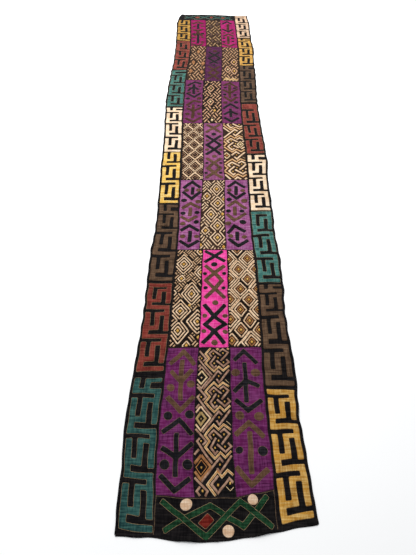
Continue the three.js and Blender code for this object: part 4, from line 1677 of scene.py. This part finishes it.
@dataclass
class EmbroideredPanel(Panel):
    """A panel worked all over in raised raffia lines: nests, knots, and bands interlaced between them."""

    margin: float = 3.6
    shortest: float = 5.0
    # Lines of a lattice run on until they meet their neighbours.
    lattice_rings: int = 6
    # A band stops short by this share of a cell, at both ends, so that it seems to pass under the next.
    band_gap: float = 0.07

    def boundary(self) -> Array:
        """The panel's outline in the plan."""
        grid = PLAN.panel_grid(self.row, self.place)
        return np.vstack([grid[:, 0], grid[::-1, 1]])[::-1]

    def clip(self, work: Stitching, design: Design) -> dict[str, MeshParts]:
        """Clips every line to the panel and to its own ground, and raises what is left.

        Args:
            work: The gathered lines.
            design: The panel's design.

        Returns:
            The panel's pieces by thread.
        """
        points = np.vstack([line.points for line in work.lines])
        x, y = points.T
        owners = np.concatenate([[line.owner] * len(line.points) for line in work.lines])
        keep = distance_inside(points, [self.boundary()]) > self.margin
        if design.nests:
            beyond = np.stack([
                np.abs(x - nest.across) + np.abs(y - nest.along) / design.aspect - design.reach(nest)
                for nest in design.nests
            ])
            nearest = beyond.min(0)
            own = np.take_along_axis(beyond, np.maximum(owners, 0)[None], 0)[0]
            keep &= (owners < 0) | ((own <= nearest + 1e-6) & ((own < 0) | design.is_lattice))
            keep &= (owners >= 0) | (nearest > 0.1 * design.pitch)
        for across, along, half_width, half_height in design.bare:
            keep &= np.abs(x - across) / half_width + np.abs(y - along + CAMERA_FOOT) / half_height > 1
        for knot in design.knots:
            keep &= (owners != FILL) | (distance_inside(points, [knot.place(KNOT_FRAME)]) <= -KNOT_CLEARANCE)
        pieces: dict[str, MeshParts] = {}
        start = 0
        for line in work.lines:
            parts = pieces.setdefault(line.thread, MeshParts(f"embroidery_{self.node}_{line.thread}"))
            end = start + len(line.points)
            for run in line.runs(keep[start:end], self.shortest):
                line.ridge.add(parts, run)
            start = end
        return pieces

    def work_nests(self, work: Stitching, design: Design) -> None:
        """Works every nest: a filled heart, and rings out to its neighbours or to the bands."""
        heart = design.heart_half
        corners = DIAMOND * [1, design.aspect]
        for i, nest in enumerate(design.nests):
            middle = np.array([nest.across, nest.along])
            tall = np.array([[0, heart], [0, -heart]]) * design.aspect
            for shift in (-0.5, 0.0, 0.5):
                stroke = tall * (1 - abs(shift)) * 0.86 + [shift * heart, 0]
                work.lay(nest.heart, stroke + middle, Ridge(heart * 0.62, design.height + 0.2), i)
            for ring in range(self.lattice_rings if design.is_lattice else nest.rings + 1):
                line = corners * (heart + (ring + 0.6) * design.pitch) + middle
                thread = design.threads[min(ring, len(design.threads) - 1)]
                ridge = Ridge(design.line if ring else design.inner or design.line, design.height)
                for a, b in pairwise(line):
                    work.lay(thread, [a, b], ridge, i)

    def work_bands(self, work: Stitching, design: Design) -> None:
        """Fills the rest with bands of parallel lines that seem to pass over and under each other."""
        slope = math.atan(1 / design.aspect)
        ways = [np.array([math.sin(slope) * side, math.cos(slope)]) for side in (1, -1)]
        gap = design.pitch * math.cos(slope)
        lines = 3 if self.row < 5 else 2
        cell = lines * gap / math.sin(2 * slope)
        area = self.boundary()
        middle, half = area.mean(0), np.ptp(area, axis=0) / 2 + cell
        count = int(half.max() / cell) + 3
        ridge = Ridge(design.line, design.height - 0.1)
        fill = design.fill or design.threads[-1]
        for i in range(-count, count):
            for j in range(-count, count):
                is_over = (i + j) % 2 == 0
                along, aside = ways if is_over else ways[::-1]
                a, b = (i, j) if is_over else (j, i)
                for k in range(lines):
                    start = middle + along * (a + self.band_gap) * cell
                    start = start + aside * (b + (k + 0.5) / lines) * cell
                    if (np.abs(start - middle) < half).all():
                        end = start + along * cell * (1 - 2 * self.band_gap)
                        work.lay(fill, [start, end], ridge, FILL)

    def work_knots(self, work: Stitching, design: Design) -> None:
        """Works the charted knots, with their frames and hearts."""
        frame_thread, line_thread, hook_thread = design.knot_threads
        for knot in design.knots:
            scale = knot.scale
            frame_line = knot.place(KNOT_FRAME)
            work.lay(frame_thread, frame_line, Ridge(8.8 * scale, 0.9))
            work.lay(line_thread, frame_line, Ridge(4.4 * scale, 0.9, lift=0.35))
            for route in KNOT_HOOKS + KNOT_SIDE_HOOKS:
                work.lay(hook_thread, knot.place(route), Ridge(8.7 * scale, 1.2))
            for route in KNOT_THIN:
                work.lay("cream_thread", knot.place(route), Ridge(2.2, 0.8))
            for spot in KNOT_HEARTS + KNOT_SIDE_HEARTS:
                middle = knot.place(spot)
                reach = np.array([0, 3.2]) * scale
                work.lay("gold", np.vstack([middle - reach, middle + reach]), Ridge(6.0 * scale, 1.2))

    def build(self, paints: Paints) -> None:
        """Makes the panel's ground and all its embroidery, one piece for each thread."""
        design = DESIGNS[self.node]
        sheet = self.sheet()
        ground = sheet.build(paints.woven(design.ground), Dye.TAN)
        work = Stitching()
        self.work_knots(work, design)
        self.work_nests(work, design)
        if self.row > 1 and design.has_bands:
            self.work_bands(work, design)
        self.work_more(work)
        for thread, width, route in design.strokes:
            work.lay(thread, route, Ridge(width, design.height + 0.5))
        pieces = self.clip(work, design)
        worked = {thread: parts for thread, parts in pieces.items() if parts.count}
        sewn = [parts.build(paints.thread(thread), Dye.TAN) for thread, parts in worked.items()]
        sheet.declare(ground, sewn)

    def work_more(self, work: Stitching) -> None:
        """Works what a panel holds besides its design."""


@dataclass
class NearPanel(EmbroideredPanel):
    """The near middle panel: interlaced knots framed by zigzags, beside a column of diamonds."""

    shortest: float = 3.0

    def work_more(self, work: Stitching) -> None:
        """Works the column of diamonds, with each ring's thread, half width, half height and line width."""
        columns = [
            (-30, 557, (("mauve", 36, 47, 7.6), ("cream_thread", 21, 29, 7.0), ("beige", 2, 3, 4.0))),
            (-29, 393, (("light_beige", 36, 46, 7.6), ("olive", 17, 24, 10.5), ("olive", 1, 2, 4.0))),
            (-25, 222, (("sienna", 33, 40, 10.5), ("orange", 19, 25, 2.6), ("gold", 1, 2, 4.4))),
        ]
        for across, along, rings in columns:
            for thread, half_width, half_height, width in rings:
                ring = DIAMOND * [half_width, half_height] + [across, along]
                work.lay(thread, ring, Ridge(width, 1.2))
        # The near end breaks off the repeat: one nest in its own frame, beside half a curl.
        last_frame = [(34, 118), (29, 127), (-2, 165), (31, 209), (45, 190), (65, 211), (90, 190)]
        work.lay("cream_thread", last_frame, Ridge(9.4, 0.9))
        work.lay("orange", last_frame, Ridge(4.4, 0.9, lift=0.35))
        for route in (
            [(33, 194), (11, 165), (34, 139), (70, 185), (92, 166)],
            [(-64, 210), (-47, 189), (-2, 145), (-13, 127)],
            [(-28, 160), (-41, 144), (-27, 126)],
        ):
            work.lay("mauve", route, Ridge(9.2, 1.2))
        work.lay("cream_thread", [(60, 161), (74, 148), (90, 164)], Ridge(2.6, 0.9))
        for spot in ((33, 163), (74, 171), (-20, 146)):
            work.lay("gold", np.array([[0, -4], [0, 4]]) + spot, Ridge(7.0, 1.2))


@dataclass
class EndPanel:
    """A black end panel with crossing zigzag strips, diamonds and round patches."""

    strip_width: float = 16.5

    def crossings(self, over: Array, under: Array) -> list[Array]:
        """The edge lines of the strip that passes over, wherever it crosses the other strip.

        Args:
            over: The upper strip's middle line.
            under: The lower strip's middle line.

        Returns:
            Two short lines for each crossing.
        """
        lines = []
        half = self.strip_width / 2
        for a, b in pairwise(over):
            for c, d in pairwise(under):
                spans = lengths([b - a, d - c])
                way, other = (b - a) / spans[0], (d - c) / spans[1]
                arm = way * half / abs(way[0] * other[1] - way[1] * other[0])
                for shift in (-half, half):
                    start = a + np.array([-way[1], way[0]]) * shift
                    reach = np.linalg.solve(np.column_stack([way, -other]), c - start)
                    if (reach > 0).all() and (reach < spans).all():
                        middle = start + way * reach[0]
                        lines.append(np.array([middle - arm, middle + arm]))
        return lines

    def near(self, paints: Paints) -> None:
        """Makes the near end with what is sewn on it."""
        grid = PLAN.near_lines.copy()
        grid[:, 0, 0] += PIECE_GAP / 2
        grid[:, -1, 0] -= PIECE_GAP / 2
        grid[-1, :, 1] -= PIECE_GAP / 2
        sheet = GroundSheet("end_near", grid)
        ground = sheet.build(paints.woven("black"), Dye.BLACK)
        routes = np.array([
            [(-157, 116), (-7, 13), (105, 116), (208, 41)],
            [(-145, 29), (5, 103), (113, 42), (198, 133)],
        ], float)
        strips = [strip(route, self.strip_width) for route in routes]
        sewn = Applique("applique_interlace_near", "green", Dye.GREEN, "interlace_near").build(paints, strips)
        crossings = MeshParts("applique_interlace_near_crossings")
        for line in self.crossings(*routes):
            Ridge(1.5, 0.6, lift=1.0).add(crossings, line)
        sewn.append(crossings.build(paints.thread("tan_outline"), Dye.TAN))
        corners = np.array([[-3, 80], [-34, 52], [-10, 35], [19, 60]], float)
        diamond = Applique("applique_diamond_near", "red_diamond", Dye.RED, "diamond_near")
        sewn += diamond.build(paints, [corners])
        for i, (across, along, radius) in enumerate([(-74, 104, 20), (147, 120, 18), (64, 29, 19)]):
            node = f"round_near_{i + 1}"
            patch = Applique(f"applique_{node}", "cream_round", Dye.CREAM, node, has_outline=False)
            sewn += patch.build(paints, [disc(across, along, radius)])
        sheet.declare(ground, sewn)

    def far(self, paints: Paints) -> None:
        """Makes the far end with its two crossing strips and its diamonds."""
        lines = PLAN.far_lines
        outer = np.column_stack([column("left_edge", lines[:, 0, 1]), lines[:, 0, 1]])
        grid = np.concatenate([outer[:, None], lines], axis=1)
        grid[:, -1, 0] -= PIECE_GAP / 2
        grid[0, :, 1] += PIECE_GAP / 2
        sheet = GroundSheet("end_far", grid)
        ground = sheet.build(paints.woven("black"), Dye.BLACK)
        routes = np.array([
            [(-238, 4385), (-120, 4316), (10, 4418), (120, 4306), (202, 4400)],
            [(-238, 4338), (-120, 4414), (10, 4318), (120, 4396), (202, 4306)],
        ], float) - [0, CAMERA_FOOT]
        strips = [strip(route, self.strip_width) for route in routes]
        sewn = Applique("applique_interlace_far", "teal_dusk", Dye.TEAL).build(paints, strips)
        diamonds = [(-120, 4200, 24, 20), (10, 4200, 15, 26), (120, 4186, 20, 20)]
        shapes = [DIAMOND[:-1] * [width, height] + [x, y] for x, y, width, height in diamonds]
        sewn += Applique("applique_diamonds_far", "red_far", Dye.RED).build(paints, shapes)
        sheet.declare(ground, sewn)


@dataclass
class Sewing:
    """Seam ridges between the panels, with slanting stitches over them, and the rolled hem all round."""

    seam_width: float = 2.2
    seam_height: float = 0.6
    stitch_step: float = 7.0
    stitch_length: float = 6.0
    stitch_width: float = 1.1
    hem_width: float = 9.0
    hem_height: float = 1.7
    # The step between the points of a long line.
    step: float = 8.0

    def seams(self) -> list[Array]:
        """The lines of every seam in the plan."""
        inner = [PLAN.seam(i) for i in (0, 3)]
        inner += [np.vstack([PLAN.row_lines[0][:1, i], *[r[1:, i] for r in PLAN.row_lines]]) for i in (1, 2)]
        cross_lines = [lines[0] for lines in PLAN.row_lines] + [PLAN.row_lines[-1][-1]]
        return inner + cross_lines

    def hems(self) -> dict[str, Array]:
        """The middle line of each hem, set in from the cloth's edge."""
        inset = self.hem_width / 2 - 1.5
        found = {}
        for side, ends, shift in (("left", (18, 4250), inset), ("right", (52, 4232), -inset)):
            places = np.linspace(*ends, 600)
            found[side] = np.column_stack([column(f"{side}_edge", places) + shift, places])
        for side, ends, edge, shift in (
            ("near", (-296, 352), NEAR_HEM, inset), ("far", (-268, 342), FAR_EDGE, -inset),
        ):
            places = np.linspace(*ends, 120)
            found[side] = np.column_stack([places, np.interp(places, *edge.T) + shift])
        return found

    def build(self, paints: Paints) -> None:
        """Makes the seam ridges, the stitches and the hems."""
        ridge = Ridge(self.seam_width, self.seam_height, lift=-0.3)
        parts = MeshParts("seam_ridges")
        stitches = MeshParts("seam_stitches")
        mark = Ridge(self.stitch_width, 0.9, lift=0.25, section=((-1.0, -0.6), (0.0, 1.0), (1.0, -0.6)))
        for line in self.seams():
            ridge.add(parts, divide(line, self.step))
            spots = resample(line, self.stitch_step)
            ways = np.gradient(spots, axis=0)
            ways = ways / np.linalg.norm(ways, axis=1, keepdims=True)
            lefts = np.column_stack([-ways[:, 1], ways[:, 0]])
            slant = (0.45 * ways + 0.9 * lefts) * self.stitch_length / 2
            for spot, half in zip(spots[1:-1], slant[1:-1]):
                mark.add(stitches, np.array([spot - half, spot, spot + half]))
        parts.build(paints.thread("seam_thread"), Dye.BLACK)
        stitches.build(paints.thread("seam_thread"), Dye.BLACK)
        light = MeshParts("near_end_thread")
        near = PLAN.near_lines
        inset = 2.6
        for line in (near[:, 0] + [inset, 0], near[:, -1] - [inset, 0], near[-1] - [0, inset]):
            Ridge(1.3, 0.7).add(light, divide(line, self.step))
        light.build(paints.thread("motif_outline"), Dye.TAN)
        section = ((-1.0, -0.7), (-1.15, -0.1), (-0.8, 0.5), (0.0, 0.8), (0.8, 0.5), (1.0, -0.3))
        hem = Ridge(self.hem_width, self.hem_height * 0.75, section=section)
        for side, line in self.hems().items():
            rolled = MeshParts(f"hem_{side}")
            hem.add(rolled, line if side in ("left", "near") else line[::-1])
            rolled.build(paints.woven("black"), Dye.BLACK)


@dataclass
class Studio:
    """Pale floor, soft lights and the camera at the photograph's angle."""

    floor_half: float = 14.0
    camera_height: float = 1.5494
    camera_pitch: float = 51.474
    camera_yaw: float = 0.2826
    lens: float = 27.036

    def floor(self) -> None:
        """Makes the floor."""
        half = self.floor_half
        corners = [(x * half, y * half, 0) for x, y in ((-1, -1), (1, -1), (1, 1), (-1, 1))]
        mesh = bpy.data.meshes.new("floor")
        mesh.from_pydata(corners, [], [(0, 1, 2, 3)])
        mesh.materials.append(MattFloor().material())
        ground = bpy.data.objects.new("floor", mesh)
        bpy.context.scene.collection.objects.link(ground)

    def light(self, name: str, place: tuple, turn: tuple, size: tuple, power: float) -> None:
        """Hangs one soft rectangular light.

        Args:
            name: The light's name.
            place: Where it hangs, in metres.
            turn: Its turn in degrees. Unturned, it shines straight down.
            size: Its two sides in metres.
            power: Its power in watts.
        """
        lamp = bpy.data.lights.new(name, "AREA")
        lamp.shape = "RECTANGLE"
        lamp.size, lamp.size_y = size
        lamp.energy = power
        holder = bpy.data.objects.new(name, lamp)
        holder.location = place
        holder.rotation_euler = [math.radians(a) for a in turn]
        bpy.context.scene.collection.objects.link(holder)

    def camera(self) -> None:
        """Sets up the camera. The fitted focal length is 416.8 pixels on the 416 by 555 photograph."""
        lens = bpy.data.cameras.new("camera")
        lens.sensor_fit = "VERTICAL"
        lens.sensor_height = 36.0
        lens.lens = self.lens
        lens.clip_end = 100.0
        eye = bpy.data.objects.new("camera", lens)
        foot = (PLAN.shift[0] / 1000, (PLAN.shift[1] - CAMERA_FOOT) / 1000)
        eye.location = (*foot, self.camera_height)
        eye.rotation_euler = (math.radians(90 - self.camera_pitch), 0, math.radians(self.camera_yaw))
        bpy.context.scene.collection.objects.link(eye)
        bpy.context.scene.camera = eye

    def build(self) -> None:
        """Makes the floor, the world, the lights and the camera."""
        self.camera()
        self.floor()
        world = bpy.data.worlds.new("studio")
        bpy.context.scene.world = world
        world.use_nodes = True
        background = world.node_tree.nodes["Background"]
        background.inputs["Color"].default_value = linear("f4f6fa")
        background.inputs["Strength"].default_value = 0.55
        self.light("key_light", (-1.2, 1.4, 3.4), (0, -18, 0), (2.2, 5.0), 200)
        self.light("far_light", (0.3, 4.6, 2.6), (-48, 0, 0), (3.5, 2.5), 74)
        bpy.context.scene.view_settings.view_transform = "Standard"


def main() -> None:
    """Builds the whole scene in order."""
    logging.basicConfig(level=logging.INFO, format="%(name)s: %(message)s")
    Studio().build()
    paints = Paints()
    # The near, middle, far and dusk finishes of the panels carry painted sheen and darkening along the cloth
    # as well as the dyes' own colours.
    for row, place, finish, dye in (
        (1, 0, "purple_near", Dye.PURPLE),
        (1, 2, "purple_near", Dye.PURPLE),
        (3, 0, "purple_middle", Dye.PURPLE),
        (3, 2, "purple_middle", Dye.PURPLE),
        (5, 0, "purple_far", Dye.PURPLE),
        (5, 2, "purple_far", Dye.PURPLE),
        (2, 1, "pink", Dye.PINK),
        (4, 1, "purple_plum", Dye.PURPLE),
        (6, 1, "purple_dusk", Dye.PURPLE),
        (7, 0, "magenta", Dye.PINK),
        (7, 2, "hot_magenta", Dye.PINK),
    ):
        MotifPanel(row, place, finish, dye).build(paints)
    NearPanel(1, 1).build(paints)
    for row, place in ((2, 0), (2, 2), (3, 1), (4, 0), (4, 2), (5, 1), (6, 0), (6, 2), (7, 1)):
        EmbroideredPanel(row, place).build(paints)
    Border("left", LEFT_BLOCKS).build(paints)
    Border("right", RIGHT_BLOCKS).build(paints)
    ends = EndPanel()
    ends.near(paints)
    ends.far(paints)
    Sewing().build(paints)


if __name__ == "__main__":
    main()
